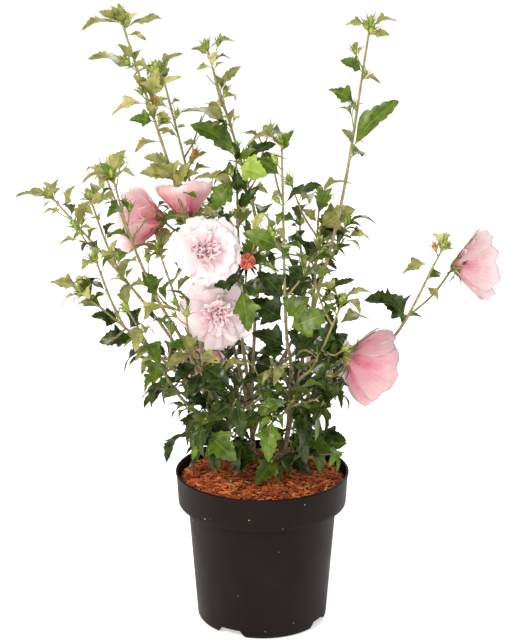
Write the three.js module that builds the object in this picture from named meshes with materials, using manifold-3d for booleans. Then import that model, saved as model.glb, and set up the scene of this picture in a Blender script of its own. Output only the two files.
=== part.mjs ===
// Hibiscus shrub in a nursery pot: woody stems, boughs, leafy sprays, pink blooms and buds.
// Millimetres, +Z up, front towards -Y, origin at the middle of the pot's underside.
import * as THREE from 'three';
import { mergeVertices } from 'three/addons/utils/BufferGeometryUtils.js';
import Module from 'manifold-3d';

const wasm = await Module();
wasm.setup();

// Clearance between neighbouring pieces
const GAP = 0.3;

// Pot: a tapered body under a wider collar
const POT_SIDES = 30;
const RIM_RADIUS = 115;
const POT_HEIGHT = 208;
const COLLAR_HEIGHT = 44;
const COLLAR_FOOT_RADIUS = 112.5;
const BODY_TOP_RADIUS = 100;
const BASE_RADIUS = 87.5;
const WALL = 2.4;
const LIP_BEAD = 0.8;
const LIP_HEIGHT = 3;
const FOOT_ROUND = 5;
const FOOT_RING_WIDTH = 4;
const FOOT_RING_SLOPE = 2;
const FOOT_CHAMFER = [1.4, 1.6];
const COLLAR_EDGE = 1.5;
const FLOOR_RISE = 11;
const FLOOR_FLARE = 0.8;
const PAD_RADIUS = 30;
const PAD_SLOPE = 5;
const NOTCHES = 4;
const NOTCH_FOOT_WIDTH = 45;
const NOTCH_TOP_WIDTH = 28;
const NOTCH_HEIGHT = 10;
const NOTCH_DROP = 1;
const NOTCH_BEARING = 241;
const DRAINS = 4;
const DRAIN_RADIUS = 6;
const DRAIN_SIDES = 8;
const DRAIN_CIRCLE = 58;

// Potting mix with its bark top, flat in the middle and lower at the wall
const GROUND = 200;
const GROUND_FLAT_RADIUS = 72;
const GROUND_EDGE_DROP = 5;

// Limbs
const LIMB_SIDES = 5;
const LIMB_STEP = 34;
const STEM_STEP = 15;
const STEM_FOOT_RADIUS = 5.6;
const STEM_RADIUS = 3.4;
const STEM_TIP_RADIUS = 2.9;
const FLARE_HEIGHT = 16;
const BURIED = 12;
const GROUND_CUT_WIDTH = 60;
const ROOT_DEPTH = 4;
const BOUGH_BEND_AT = 0.45;
const BOUGH_BOW = 0.07;
const SPRAY_BOW = 0.1;
const FORK_SAG = 0.06;
const BOUGH_RADIUS = 2.3;
const KNEE_RADIUS = 1.7;
const LEADER_TIP_RADIUS = 1.0;
const TWIG_RADIUS = 1.2;
const TWIG_TIP_RADIUS = 0.8;
const TWIG_SIDES = 3;
const TWIG_STEP = 60;
const TWIG_FIRST = 0.1;
const TWIG_LAST = 0.85;
const TWIG_LENGTHS = [0.75, 1.25];
const TWIG_LEANS = [0.75, 1.15];
const TWIG_BEND_AT = 0.5;
const TWIG_PAST_BEND = 0.42;
const TWIG_UPTURN = 0.22;
const FORK_RADIUS = 1.5;
const STALK_RADIUS = 1.5;
const STALK_SIDES = 4;
const MOST_KEPT = 0.75;
const PATH_SAMPLES = 30;

// Leaves: shares of the leaf's own length
const LEAF_THICKNESS = 0.9;
const LEAF_WIDEST = 0.45;
const LEAF_REACH = 0.3;
const LEAF_ARCH = 0.1;
const LEAF_MARGIN = 0.5;
const BLADE_START = 0.25;
const GOLDEN_TURN = THREE.MathUtils.degToRad(137.5);
const LEAF_LEAN = 1.0;
const TIP_LEAN = 0.75;
const LEAF_SAG = 0.12;
const LEAF_ROLL = 1.1;
const LEAN_SPREAD = 0.5;
const LEAF_LENGTHS = [0.8, 1.2];
const ROSETTE_LEAVES = 3;
const SPRIG_ROSETTE_LEAVES = 2;
const ROSETTE_SINK = 2.5;
const LEADER_START = 0.6;
const TWIG_START = 0.9;
const BUD_LENGTH = 11;
const BUD_RADIUS = 3.6;
const BUD_MIDDLE = 0.35;

// Three stems rise from the mix: foot, bend and fork of each
const STEMS = {
  right: [[30, 21], [36, 14, 275], [39, 8, 347]],
  centre: [[-12, 56], [-15, 50, 262], [-19, 40, 313]],
  left: [[-38, 25], [-55, 15, 262], [-76, 0, 316]],
};

// Each cane leaves its stem at a share of the stem's height. Its bough runs to the knee,
// where the foliage begins, and its leader runs on to the tip.
const CANES = [
  { name: 'far_left', stem: 'left', at: 0.56, knee: [-162, 40, 434], tip: [-278, 75, 562],
    forks: [[0.22, [-231, 110, 552]]], leaf: [38, 34], step: 30, sprigs: 1 },
  { name: 'upper_left', stem: 'left', at: 0.9, knee: [-138, -30, 457], tip: [-195, -70, 620],
    forks: [[0.3, [-182, -100, 620]]], leaf: [38, 32], step: 30, sprigs: 1 },
  { name: 'mid_left', stem: 'left', at: 0.7, knee: [-84, -24, 366], tip: [-131, -25, 509],
    forks: [], leaf: [42, 36], step: 25, sprigs: 3 },
  { name: 'low_left', stem: 'left', at: 0.4, knee: [-130, -46, 376], tip: [-222, -95, 475],
    forks: [[0.5, [-205, -100, 517]]], leaf: [42, 36], step: 28, sprigs: 1 },
  { name: 'lowest_left', stem: 'left', at: 0.24, knee: [-105, -35, 318], tip: [-168, -85, 450],
    forks: [], leaf: [46, 38], step: 26, sprigs: 2 },
  { name: 'tall_left', stem: 'left', at: 1, knee: [-100, 10, 543], tip: [-179, 50, 794],
    forks: [[0.55, [-137, 30, 731]]], leaf: [38, 34], step: 36, sprigs: 0 },
  { name: 'tall_left_back', stem: 'left', at: 0.8, knee: [-82, 95, 505], tip: [-134, 140, 720],
    forks: [], leaf: [40, 34], step: 31, sprigs: 1 },
  { name: 'centre_tall', stem: 'centre', at: 0.55, knee: [-4, 95, 500], tip: [-73, 150, 748],
    forks: [], leaf: [42, 34], step: 32, sprigs: 2 },
  { name: 'right_tall', stem: 'right', at: 0.24, knee: [101, 25, 559], tip: [136, 45, 788],
    forks: [], leaf: [40, 34], step: 39, sprigs: 0 },
  { name: 'front_tall', stem: 'right', at: 1, knee: [32, -8, 390], tip: [23, -60, 655],
    forks: [], leaf: [44, 36], step: 31, sprigs: 3 },
  { name: 'centre', stem: 'centre', at: 1, knee: [-26, 30, 372], tip: [-34, 10, 630],
    forks: [], leaf: [44, 40], step: 28, sprigs: 4 },
  { name: 'right_mid', stem: 'centre', at: 0.75, knee: [56, 60, 368], tip: [79, 135, 550],
    forks: [[0.4, [112, 95, 520]]], leaf: [48, 42], step: 27, sprigs: 3 },
  { name: 'far_right', stem: 'right', at: 0.5, knee: [164, -20, 390], tip: [226, -48, 520],
    forks: [], leaf: [38, 34], step: 39, sprigs: 0 },
  { name: 'right_bud', stem: 'right', at: 0.74, knee: [66, -30, 360], tip: [99, -85, 461],
    forks: [], leaf: [44, 36], step: 27, sprigs: 2 },
  { name: 'back_left', stem: 'centre', at: 0.42, knee: [-50, 140, 376], tip: [-71, 230, 506],
    forks: [[0.4, [-110, 190, 500]]], leaf: [42, 36], step: 27, sprigs: 2 },
  { name: 'back_right', stem: 'centre', at: 0.3, knee: [53, 140, 376], tip: [55, 240, 489],
    forks: [[0.4, [95, 195, 480]]], leaf: [42, 36], step: 27, sprigs: 2 },
];

// Low foliage springs from the stems themselves and hides their feet.
const LOW_SPRAYS = [
  { name: 'low_far_left', stem: 'left', at: 0.16, tip: [-98, -66, 316], sprigs: 3 },
  { name: 'low_front', stem: 'left', at: 0.3, tip: [-34, -92, 336], sprigs: 4 },
  { name: 'low_front_right', stem: 'right', at: 0.36, tip: [38, -96, 336], sprigs: 4 },
  { name: 'low_right', stem: 'right', at: 0.62, tip: [92, -40, 338], sprigs: 4 },
  { name: 'low_back', stem: 'centre', at: 0.2, tip: [-17, 142, 300], sprigs: 3 },
  { name: 'low_back_right', stem: 'right', at: 0.45, tip: [84, 108, 326], sprigs: 3 },
  { name: 'low_back_left', stem: 'left', at: 0.5, tip: [-98, 92, 330], sprigs: 3 },
  { name: 'skirt_front', stem: 'right', at: 0.1, tip: [12, -58, 240], sprigs: 1 },
  { name: 'skirt_left', stem: 'left', at: 0.08, tip: [-64, -40, 248], sprigs: 1 },
  { name: 'skirt_right', stem: 'right', at: 0.16, tip: [76, -4, 258], sprigs: 1 },
];
const CANE_HABIT = { reach: 62, finish: 'leaf' };
const LOW_HABIT = { leaf: [50, 44], step: 25, forks: [], reach: 66, finish: 'leafLow' };

// Blooms on stalks of their own: the bough that bears each, its heart and the way it faces
const BLOOMS = [
  { name: 'bloom_left_upper', kind: 'double', cane: 'tall_left', at: 0.72, heart: [-72, -50, 520],
    facing: [0.08, -1, 0.3], radius: 43 },
  { name: 'bloom_left_lower', kind: 'double', cane: 'mid_left', at: 0.8, heart: [-60, -30, 432],
    facing: [0.12, -1, 0.05], radius: 47 },
  { name: 'bloom_far_left', kind: 'trumpet', cane: 'tall_left', at: 0.93, heart: [-125, -10, 549],
    facing: [-0.9, 0.25, 0.05], radius: 40 },
  { name: 'bloom_behind', kind: 'trumpet', cane: 'tall_left', at: 0.9, heart: [-92, 34, 547],
    facing: [-0.05, 0.3, 1], radius: 36 },
  { name: 'bloom_low_right', kind: 'trumpet', cane: 'right_bud', at: 0.9, heart: [103, -82, 390],
    facing: [0.85, 0.3, -0.4], radius: 48 },
  { name: 'bloom_back', kind: 'double', cane: 'back_right', at: 0.8, heart: [104, 142, 322],
    facing: [0.5, 0.85, 0.15], radius: 40 },
  { name: 'bloom_back_left', kind: 'trumpet', cane: 'back_left', at: 0.75, heart: [-70, 165, 292],
    facing: [-0.4, 1, 0.1], radius: 38 },
];

// Blossom that grows out of a leader, at a share of its length
const LEADER_BLOSSOM = {
  far_right: { kind: 'trumpet', at: 0.62, heart: [247, -46, 495], facing: [1, 0.25, 0.2], radius: 42 },
  centre: { kind: 'bud', at: 0.4, heart: [-18, -10, 490], facing: [0, -0.3, 1], radius: 11 },
};
const HEAD_SIDES = 10;
const PETALS = 5;
const PETAL_SPREAD = 0.06;
const RUFFLE_SPREAD = 0.1;
const RUFFLE_RISE = 7;
const STALK_BEND_AT = 0.55;
const STALK_SAG = 0.08;
const STALK_SINK = 2;

// Colour and roughness of each finish
const FINISHES = {
  pot: [0x3a3130, 0.45],
  mulch: [0x96502b, 0.95],
  bark: [0x9c8a6b, 0.85],
  leaf: [0x4f7330, 0.55],
  leafLow: [0x35561f, 0.5],
  bloom: [0xf2cdd4, 0.7],
};

// One whole number for each choice that the growing rule makes
const SALT = { length: 1, lift: 2, turn: 3, roll: 4, twigTurn: 5, twigLift: 6, twigLength: 7, ruffle: 8 };

// A repeatable share between 0 and 1 for a list of whole numbers
function dice(...keys) {
  let mix = 2166136261;
  for (const key of keys) {
    mix = Math.imul(mix ^ key, 16777619);
    mix ^= mix >>> 15;
  }
  mix = Math.imul(mix ^ (mix >>> 16), 2246822507);
  mix = Math.imul(mix ^ (mix >>> 13), 3266489909);
  return ((mix ^ (mix >>> 16)) >>> 0) / 4294967296;
}

const vector = (list) => new THREE.Vector3(...list);
const blend = (from, to, share) => from + (to - from) * share;

// A smooth path through its points, walked by length
class Path {
  constructor(points) {
    const curve = new THREE.CatmullRomCurve3(points, false, 'centripetal');
    this.points = curve.getPoints(PATH_SAMPLES);
    this.marks = [0];
    for (let i = 1; i < this.points.length; i++) {
      this.marks.push(this.marks[i - 1] + this.points[i].distanceTo(this.points[i - 1]));
    }
    this.length = this.marks[this.marks.length - 1];
    const chord = this.points[this.points.length - 1].clone().sub(this.points[0]).normalize();
    this.guide = Math.abs(chord.z) < 0.8 ? new THREE.Vector3(0, 0, 1) : new THREE.Vector3(1, 0, 0);
  }

  // Place, heading and two cross directions at a distance from the start
  frame(distance) {
    const last = this.points.length - 1;
    let i = 0;
    while (i < last - 1 && this.marks[i + 1] < distance) i++;
    const share = (distance - this.marks[i]) / (this.marks[i + 1] - this.marks[i]);
    const point = this.points[i].clone().lerp(this.points[i + 1], share);
    const before = this.headingAt(i);
    const heading = before.lerp(this.headingAt(i + 1), share).normalize();
    const across = this.guide.clone().addScaledVector(heading, -this.guide.dot(heading)).normalize();
    const over = new THREE.Vector3().crossVectors(across, heading);
    return { point, heading, across, over };
  }

  headingAt(i) {
    const next = this.points[Math.min(i + 1, this.points.length - 1)];
    const back = this.points[Math.max(i - 1, 0)];
    return next.clone().sub(back).normalize();
  }
}

// Closed solids

function toSolid(geometry) {
  const bare = geometry.index ? geometry.clone() : geometry;
  bare.deleteAttribute('normal');
  bare.deleteAttribute('uv');
  const merged = mergeVertices(bare);
  return new wasm.Manifold(new wasm.Mesh({
    numProp: 3,
    vertProperties: new Float32Array(merged.getAttribute('position').array),
    triVerts: new Uint32Array(merged.getIndex().array),
  }));
}

function toGeometry(solid) {
  const mesh = solid.getMesh();
  const geometry = new THREE.BufferGeometry();
  geometry.setAttribute('position', new THREE.BufferAttribute(new Float32Array(mesh.vertProperties), 3));
  geometry.setIndex(new THREE.BufferAttribute(new Uint32Array(mesh.triVerts), 1));
  geometry.computeVertexNormals();
  return geometry;
}

// The largest piece alone: loose scraps and sealed pockets are dropped.
function largestPiece(solid) {
  const pieces = solid.decompose();
  return pieces.reduce((best, piece) => (piece.volume() > best.volume() ? piece : best));
}

function boxesMeet(one, other) {
  const a = one.boundingBox();
  const b = other.boundingBox();
  return [0, 1, 2].every((axis) => a.min[axis] < b.max[axis] && b.min[axis] < a.max[axis]);
}

const touches = (one, other) => boxesMeet(one, other) && one.intersect(other).volume() > 0;

// A plain cylinder carried along a path, its radius set by the share of the way
// and its far end pushed on by an overrun
function limb(path, from, to, radiusAt, sides, stepLength, overrun = 0) {
  const steps = Math.max(1, Math.round((to - from) / stepLength));
  const tube = new THREE.CylinderGeometry(1, 1, 1, sides, steps);
  const place = tube.getAttribute('position');
  for (let i = 0; i < place.count; i++) {
    const share = place.getY(i) + 0.5;
    const { point, heading, across, over } = path.frame(blend(from, to, share));
    const radius = radiusAt(share, blend(from, to, share));
    point.addScaledVector(across, place.getX(i) * radius).addScaledVector(over, place.getZ(i) * radius);
    if (share === 1) point.addScaledVector(heading, overrun);
    place.setXYZ(i, point.x, point.y, point.z);
  }
  return toSolid(tube);
}

// A thin leaf: root, two side corners and tip in a sheet that bends across its widest line, with
// a ridge above. A margin makes the wider solid that clearance is tested with, and a start
// leaves its root out.
function leafSolid(leaf, margin = 0, start = 0) {
  const size = leaf.length + 2 * margin;
  const at = (along, out, up, lift) => leaf.root.clone()
    .addScaledVector(leaf.along, along * size)
    .addScaledVector(leaf.side, out * size)
    .addScaledVector(leaf.face, up * size + lift);
  const corners = [
    at(start, 0, 0, -margin),
    at(LEAF_WIDEST, LEAF_REACH, LEAF_ARCH, -margin),
    at(1, 0, 0, -margin),
    at(LEAF_WIDEST, -LEAF_REACH, LEAF_ARCH, -margin),
    at(LEAF_WIDEST, 0, LEAF_ARCH, LEAF_THICKNESS + margin),
  ];
  const faces = [3, 1, 0, 1, 3, 2];
  for (let i = 0; i < 4; i++) faces.push(i, (i + 1) % 4, 4);
  const geometry = new THREE.BufferGeometry();
  const flat = corners.flatMap((corner) => corner.toArray());
  geometry.setAttribute('position', new THREE.Float32BufferAttribute(flat, 3));
  geometry.setIndex(faces);
  return toSolid(geometry);
}

// A turned profile of [radius, height] points whose rim waves, facing a given way
function turnedSolid(profile, sides, heart, facing, wave) {
  const turned = new THREE.LatheGeometry(profile.map(([r, h]) => new THREE.Vector2(r, h)), sides);
  const place = turned.getAttribute('position');
  for (let i = 0; i < place.count; i++) {
    const [x, y, z] = [place.getX(i), place.getY(i), place.getZ(i)];
    const turn = Math.round((Math.atan2(x, z) / (2 * Math.PI)) * sides + sides) % sides;
    const [spread, rise] = wave(turn, Math.hypot(x, z));
    place.setXYZ(i, x * spread, y + rise, z * spread);
  }
  const swing = new THREE.Quaternion().setFromUnitVectors(new THREE.Vector3(0, 1, 0), facing);
  turned.applyQuaternion(swing).translate(heart.x, heart.y, heart.z);
  return toSolid(turned);
}

// Pieces already in place, with the node that owns each and whether it is a leaf
const placed = [];

function keep(solid, owner, isLeaf = false) {
  placed.push({ solid, owner, isLeaf });
  return solid;
}

// The owners of other nodes' pieces that a solid touches
function blockers(solid, owner) {
  const met = placed.filter((other) => other.owner !== owner && touches(solid, other.solid));
  return met.map((other) => other.owner);
}

const isClear = (solid, owner) => blockers(solid, owner).length === 0;

// A leaf also keeps off the other leaves of its own node, past its root.
function leafIsClear(leaf, owner) {
  const blade = leafSolid(leaf, 0, BLADE_START);
  const ownLeaves = placed.filter((other) => other.owner === owner && other.isLeaf);
  if (ownLeaves.some((other) => touches(blade, other.solid))) return false;
  return isClear(leafSolid(leaf, LEAF_MARGIN), owner);
}

const shrub = new THREE.Group();

function addNode(name, solid, finish) {
  const [colour, roughness] = FINISHES[finish];
  const material = new THREE.MeshStandardMaterial({ color: colour, roughness, metalness: 0 });
  const mesh = new THREE.Mesh(toGeometry(solid), material);
  mesh.name = name;
  shrub.add(mesh);
}

// Pot and mix

function potInside(inset) {
  const floor = FLOOR_RISE + WALL + inset;
  const ledge = POT_HEIGHT - COLLAR_HEIGHT + WALL + inset;
  return [
    [0, WALL + inset], [PAD_RADIUS - inset, WALL + inset], [PAD_RADIUS + PAD_SLOPE - inset, floor],
    [BASE_RADIUS - WALL - inset + FLOOR_FLARE, floor], [BODY_TOP_RADIUS - WALL - inset, ledge],
    [COLLAR_FOOT_RADIUS - WALL - inset, ledge],
  ];
}

function buildPot() {
  const bottom = POT_HEIGHT - COLLAR_HEIGHT;
  const ringInner = BASE_RADIUS - FOOT_ROUND - FOOT_RING_WIDTH;
  const profile = [
    [0, 0], [PAD_RADIUS + WALL, 0], [PAD_RADIUS + WALL + PAD_SLOPE, FLOOR_RISE],
    [ringInner + FOOT_RING_SLOPE, FLOOR_RISE], [ringInner, 0], [BASE_RADIUS - FOOT_ROUND, 0],
    [BASE_RADIUS - FOOT_CHAMFER[0], FOOT_CHAMFER[1]], [BASE_RADIUS, FOOT_ROUND],
    [BODY_TOP_RADIUS, bottom + COLLAR_EDGE], [COLLAR_FOOT_RADIUS - COLLAR_EDGE, bottom + COLLAR_EDGE],
    [COLLAR_FOOT_RADIUS, bottom],
    [RIM_RADIUS, POT_HEIGHT - LIP_HEIGHT], [RIM_RADIUS + LIP_BEAD, POT_HEIGHT - LIP_HEIGHT + LIP_BEAD],
    [RIM_RADIUS + LIP_BEAD, POT_HEIGHT - LIP_BEAD], [RIM_RADIUS, POT_HEIGHT],
    [RIM_RADIUS - WALL, POT_HEIGHT], ...potInside(0).reverse(),
  ];
  const turned = new THREE.LatheGeometry(profile.map(([r, z]) => new THREE.Vector2(r, z)), POT_SIDES);
  let pot = toSolid(turned.rotateX(Math.PI / 2));
  const [foot, top] = [NOTCH_FOOT_WIDTH / 2, NOTCH_TOP_WIDTH / 2];
  const corners = [[-foot, -NOTCH_DROP], [foot, -NOTCH_DROP], [top, NOTCH_HEIGHT], [-top, NOTCH_HEIGHT]];
  const notch = new THREE.Shape(corners.map(([x, y]) => new THREE.Vector2(x, y)));
  const cutter = new THREE.ExtrudeGeometry(notch, { depth: RIM_RADIUS, bevelEnabled: false });
  for (let i = 0; i < NOTCHES; i++) {
    const bearing = THREE.MathUtils.degToRad(NOTCH_BEARING + (360 / NOTCHES) * i);
    const cut = cutter.clone().translate(0, 0, PAD_RADIUS + PAD_SLOPE + 2 * WALL);
    pot = pot.subtract(toSolid(cut.rotateX(Math.PI / 2).rotateZ(bearing + Math.PI / 2)));
  }
  const depth = FLOOR_RISE + 2 * WALL;
  const drill = new THREE.CylinderGeometry(DRAIN_RADIUS, DRAIN_RADIUS, depth, DRAIN_SIDES);
  for (let i = 0; i < DRAINS; i++) {
    const bearing = (2 * Math.PI * (i + 0.5)) / DRAINS;
    const hole = drill.clone().rotateX(Math.PI / 2);
    hole.translate(DRAIN_CIRCLE * Math.cos(bearing), DRAIN_CIRCLE * Math.sin(bearing), FLOOR_RISE);
    pot = pot.subtract(toSolid(hole));
  }
  return pot;
}

function buildMix() {
  const slope = (RIM_RADIUS - COLLAR_FOOT_RADIUS) / COLLAR_HEIGHT;
  const edge = GROUND - GROUND_EDGE_DROP;
  const edgeRadius = RIM_RADIUS - WALL - GAP - slope * (POT_HEIGHT - edge);
  const profile = [...potInside(GAP), [edgeRadius, edge], [GROUND_FLAT_RADIUS, GROUND], [0, GROUND]];
  const turned = new THREE.LatheGeometry(profile.map(([r, z]) => new THREE.Vector2(r, z)), POT_SIDES);
  return toSolid(turned.rotateX(Math.PI / 2));
}

// Stems and boughs

function stemPath(name) {
  const [foot, bend, fork] = STEMS[name];
  const start = new THREE.Vector3(foot[0], foot[1], GROUND - BURIED);
  const ground = new THREE.Vector3(foot[0], foot[1], GROUND + BURIED);
  return new Path([start, ground, vector(bend), vector(fork)]);
}

function stemRadius(height) {
  const flare = Math.max(0, 1 - (height - GROUND) / FLARE_HEIGHT);
  return STEM_RADIUS + (STEM_FOOT_RADIUS - STEM_RADIUS) * flare * flare;
}

// A stem with its flat foot just clear of the mix; extra grows the solid that cuts its neighbours.
function stemSolid(path, extra = 0) {
  const radiusAt = (share, walked) => {
    const height = GROUND - BURIED + walked;
    return Math.min(stemRadius(height), blend(STEM_FOOT_RADIUS, STEM_TIP_RADIUS, share)) + extra;
  };
  const rod = limb(path, 0, path.length, radiusAt, LIMB_SIDES, STEM_STEP, extra / 2);
  const below = new THREE.BoxGeometry(GROUND_CUT_WIDTH, GROUND_CUT_WIDTH, 2 * BURIED);
  const foot = path.points[0];
  below.translate(foot.x, foot.y, GROUND + GAP - BURIED - extra);
  return rod.subtract(toSolid(below));
}

// Solids that later limbs are cut clear of
const guards = [];

function cutClear(solid) {
  let left = solid;
  for (const guard of guards) {
    if (boxesMeet(left, guard)) left = left.subtract(guard);
  }
  return largestPiece(left);
}

const stems = {};
for (const name of Object.keys(STEMS)) {
  const path = stemPath(name);
  stems[name] = path;
  guards.push(stemSolid(path, GAP));
  addNode(`stem_${name}`, keep(stemSolid(path), `stem_${name}`), 'bark');
}

addNode('pot', keep(buildPot(), 'pot'), 'pot');
addNode('potting_mix', keep(buildMix(), 'potting_mix'), 'mulch');

// A cane's path starts inside its stem, passes the knee and ends at its tip.
function canePath(cane) {
  const stem = stems[cane.stem];
  const walked = BURIED + cane.at * (stem.length - BURIED);
  const start = stem.frame(Math.min(walked, stem.length - ROOT_DEPTH)).point;
  const knee = vector(cane.knee);
  const bend = start.clone().lerp(knee, BOUGH_BEND_AT);
  bend.z += BOUGH_BOW * knee.distanceTo(start);
  const path = new Path([start, bend, knee, vector(cane.tip)]);
  const kneeIndex = Math.round((PATH_SAMPLES * 2) / 3);
  return { path, kneeMark: path.marks[kneeIndex] };
}

// The tables above keep limbs apart. A limb may lose its root where it leaves its stem, and no more,
// and what is left of it touches nothing.
function rootedLimb(name, bare) {
  const solid = cutClear(bare);
  if (solid.volume() < MOST_KEPT * bare.volume()) throw new Error(`${name} runs through another limb`);
  const met = blockers(solid, name);
  if (met.length > 0) throw new Error(`${name} touches ${met.join(', ')}`);
  return solid;
}

// A bough that carries its stem on has a flat foot just past the stem's end.
function trimPast(solid, stem) {
  const { point, heading } = stem.frame(stem.length);
  return solid.trimByPlane(heading.toArray(), heading.dot(point) + GAP);
}

const boughs = {};
for (const cane of CANES) {
  const { path, kneeMark } = canePath(cane);
  boughs[cane.name] = { path, kneeMark };
  const radiusAt = (share) => blend(BOUGH_RADIUS, KNEE_RADIUS, share);
  const whole = limb(path, 0, kneeMark, radiusAt, LIMB_SIDES, LIMB_STEP);
  const solid = rootedLimb(cane.name, cane.at === 1 ? trimPast(whole, stems[cane.stem]) : whole);
  guards.push(limb(path, 0, kneeMark, (share) => radiusAt(share) + GAP, LIMB_SIDES, LIMB_STEP));
  addNode(`bough_${cane.name}`, keep(solid, `bough_${cane.name}`), 'bark');
}

// Blossom: a turned head on a bent stalk

const HEAD_PROFILES = {
  double: (r) => [[0, 0], [0.6 * r, 5], [r, 17], [0.62 * r, 31], [0, 38]],
  trumpet: (r) => [[0, 0], [8, 5], [0.4 * r, 23], [0.84 * r, 40], [r, 50], [0.4 * r, 36], [0, 30]],
  bud: (r) => [[0, 0], [0.8 * r, 0.4 * r], [r, r], [0.7 * r, 1.6 * r], [0, 1.9 * r]],
};

function blossomSolid(item, start, index) {
  const facing = vector(item.facing).normalize();
  const heart = vector(item.heart);
  const wave = (turn, radius) => {
    const rim = item.kind === 'bud' ? 0 : radius / item.radius;
    const petal = Math.cos((2 * Math.PI * PETALS * turn) / HEAD_SIDES);
    const ruffle = dice(index, turn, SALT.ruffle) - 0.5;
    return [1 + rim * (PETAL_SPREAD * petal + RUFFLE_SPREAD * ruffle), rim * RUFFLE_RISE * ruffle];
  };
  const head = turnedSolid(HEAD_PROFILES[item.kind](item.radius), HEAD_SIDES, heart, facing, wave);
  const end = heart.clone().addScaledVector(facing, STALK_SINK);
  const middle = start.clone().lerp(end, STALK_BEND_AT);
  middle.z -= STALK_SAG * start.distanceTo(end);
  const stalk = new Path([start, middle, end]);
  return head.add(limb(stalk, 0, stalk.length, () => STALK_RADIUS, STALK_SIDES, TWIG_STEP));
}

BLOOMS.forEach((bloom, index) => {
  const { path, kneeMark } = boughs[bloom.cane];
  const start = path.frame(bloom.at * kneeMark).point;
  const solid = rootedLimb(bloom.name, blossomSolid(bloom, start, index));
  addNode(bloom.name, keep(solid, bloom.name), 'bloom');
});

// Foliage. A twig is a stretch of path with a foot and a tip radius and a number of its own in its
// mass, and leaves hang on its axis.

// A direction that leans out from a heading by an angle, turned about it
function leanOut(frame, turn, lean) {
  return frame.heading.clone().multiplyScalar(Math.cos(lean))
    .addScaledVector(frame.across, Math.sin(lean) * Math.cos(turn))
    .addScaledVector(frame.over, Math.sin(lean) * Math.sin(turn));
}

// One leaf, where keys are the numbers of its mass, twig and joint
function leafAt(twig, keys, distance, lean, length) {
  const frame = twig.path.frame(distance);
  const turn = GOLDEN_TURN * keys[2] + 2 * Math.PI * dice(keys[0], keys[1], SALT.turn);
  const along = leanOut(frame, turn, lean + LEAN_SPREAD * (dice(...keys, SALT.lift) - 0.5));
  along.z -= LEAF_SAG;
  along.normalize();
  const side = new THREE.Vector3(along.y, -along.x, 0).normalize();
  side.applyAxisAngle(along, LEAF_ROLL * (dice(...keys, SALT.roll) - 0.5));
  const face = new THREE.Vector3().crossVectors(side, along);
  const grown = length * blend(...LEAF_LENGTHS, dice(...keys, SALT.length));
  return { root: frame.point, along, side, face, length: grown };
}

// The leaves of one twig: one at each joint, then a rosette at the tip
function twigLeaves(mass, twig) {
  const { number, leaf: sizes, step, forks } = mass;
  const isSprig = twig.number > forks.length;
  const first = twig.from + step * (twig.number === 0 ? LEADER_START : TWIG_START);
  const leaves = [];
  let k = 0;
  for (let walked = first; walked < twig.to - step / 3; walked += step) {
    const share = (walked - twig.from) / (twig.to - twig.from);
    const length = blend(sizes[0], sizes[1], share);
    leaves.push(leafAt(twig, [number, twig.number, k], walked, LEAF_LEAN, length));
    k += 1;
  }
  for (let r = 0; r < (isSprig ? SPRIG_ROSETTE_LEAVES : ROSETTE_LEAVES); r++) {
    leaves.push(leafAt(twig, [number, twig.number, k + r], twig.to - ROSETTE_SINK, TIP_LEAN, sizes[1]));
  }
  return leaves;
}

// A side twig of a mass leans out, then bends upwards.
function sideTwig(mass, t) {
  const { leader, number } = mass;
  const share = TWIG_FIRST + ((TWIG_LAST - TWIG_FIRST) * (t + 0.5)) / mass.sprigs;
  const length = mass.reach * blend(...TWIG_LENGTHS, dice(number, t, SALT.twigLength));
  const frame = leader.path.frame(blend(leader.from, leader.to, share));
  const turn = GOLDEN_TURN * t + 2 * Math.PI * dice(number, SALT.twigTurn);
  const lean = blend(...TWIG_LEANS, dice(number, t, SALT.twigLift));
  const out = leanOut(frame, turn, lean);
  const middle = frame.point.clone().addScaledVector(out, TWIG_BEND_AT * length);
  const end = middle.clone().addScaledVector(out, TWIG_PAST_BEND * length);
  end.z += TWIG_UPTURN * length;
  const path = new Path([frame.point, middle, end]);
  const twigNumber = 1 + mass.forks.length + t;
  return { number: twigNumber, path, from: 0, to: path.length, foot: TWIG_RADIUS, tip: TWIG_TIP_RADIUS };
}

// A named fork of a mass runs from its leader to a tip of its own.
function forkTwig(mass, f) {
  const { leader } = mass;
  const [share, tip] = mass.forks[f];
  const start = leader.path.frame(blend(leader.from, leader.to, share)).point;
  const end = vector(tip);
  const middle = start.clone().lerp(end, 0.5);
  middle.z -= FORK_SAG * start.distanceTo(end);
  const path = new Path([start, middle, end]);
  return { number: 1 + f, path, from: 0, to: path.length, foot: FORK_RADIUS, tip: LEADER_TIP_RADIUS };
}

function twigSolid(twig) {
  const radiusAt = (share) => blend(twig.foot, twig.tip, share);
  return limb(twig.path, twig.from, twig.to, radiusAt, TWIG_SIDES, TWIG_STEP);
}

// A small bud stands on each leader's and fork's tip.
function tipBud(twig) {
  const { point, heading } = twig.path.frame(twig.to);
  const bud = new THREE.OctahedronGeometry(1).scale(BUD_RADIUS, BUD_LENGTH / 2, BUD_RADIUS);
  bud.applyQuaternion(new THREE.Quaternion().setFromUnitVectors(new THREE.Vector3(0, 1, 0), heading));
  const middle = point.addScaledVector(heading, BUD_MIDDLE * BUD_LENGTH);
  return toSolid(bud.translate(middle.x, middle.y, middle.z));
}

const masses = [];

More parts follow.
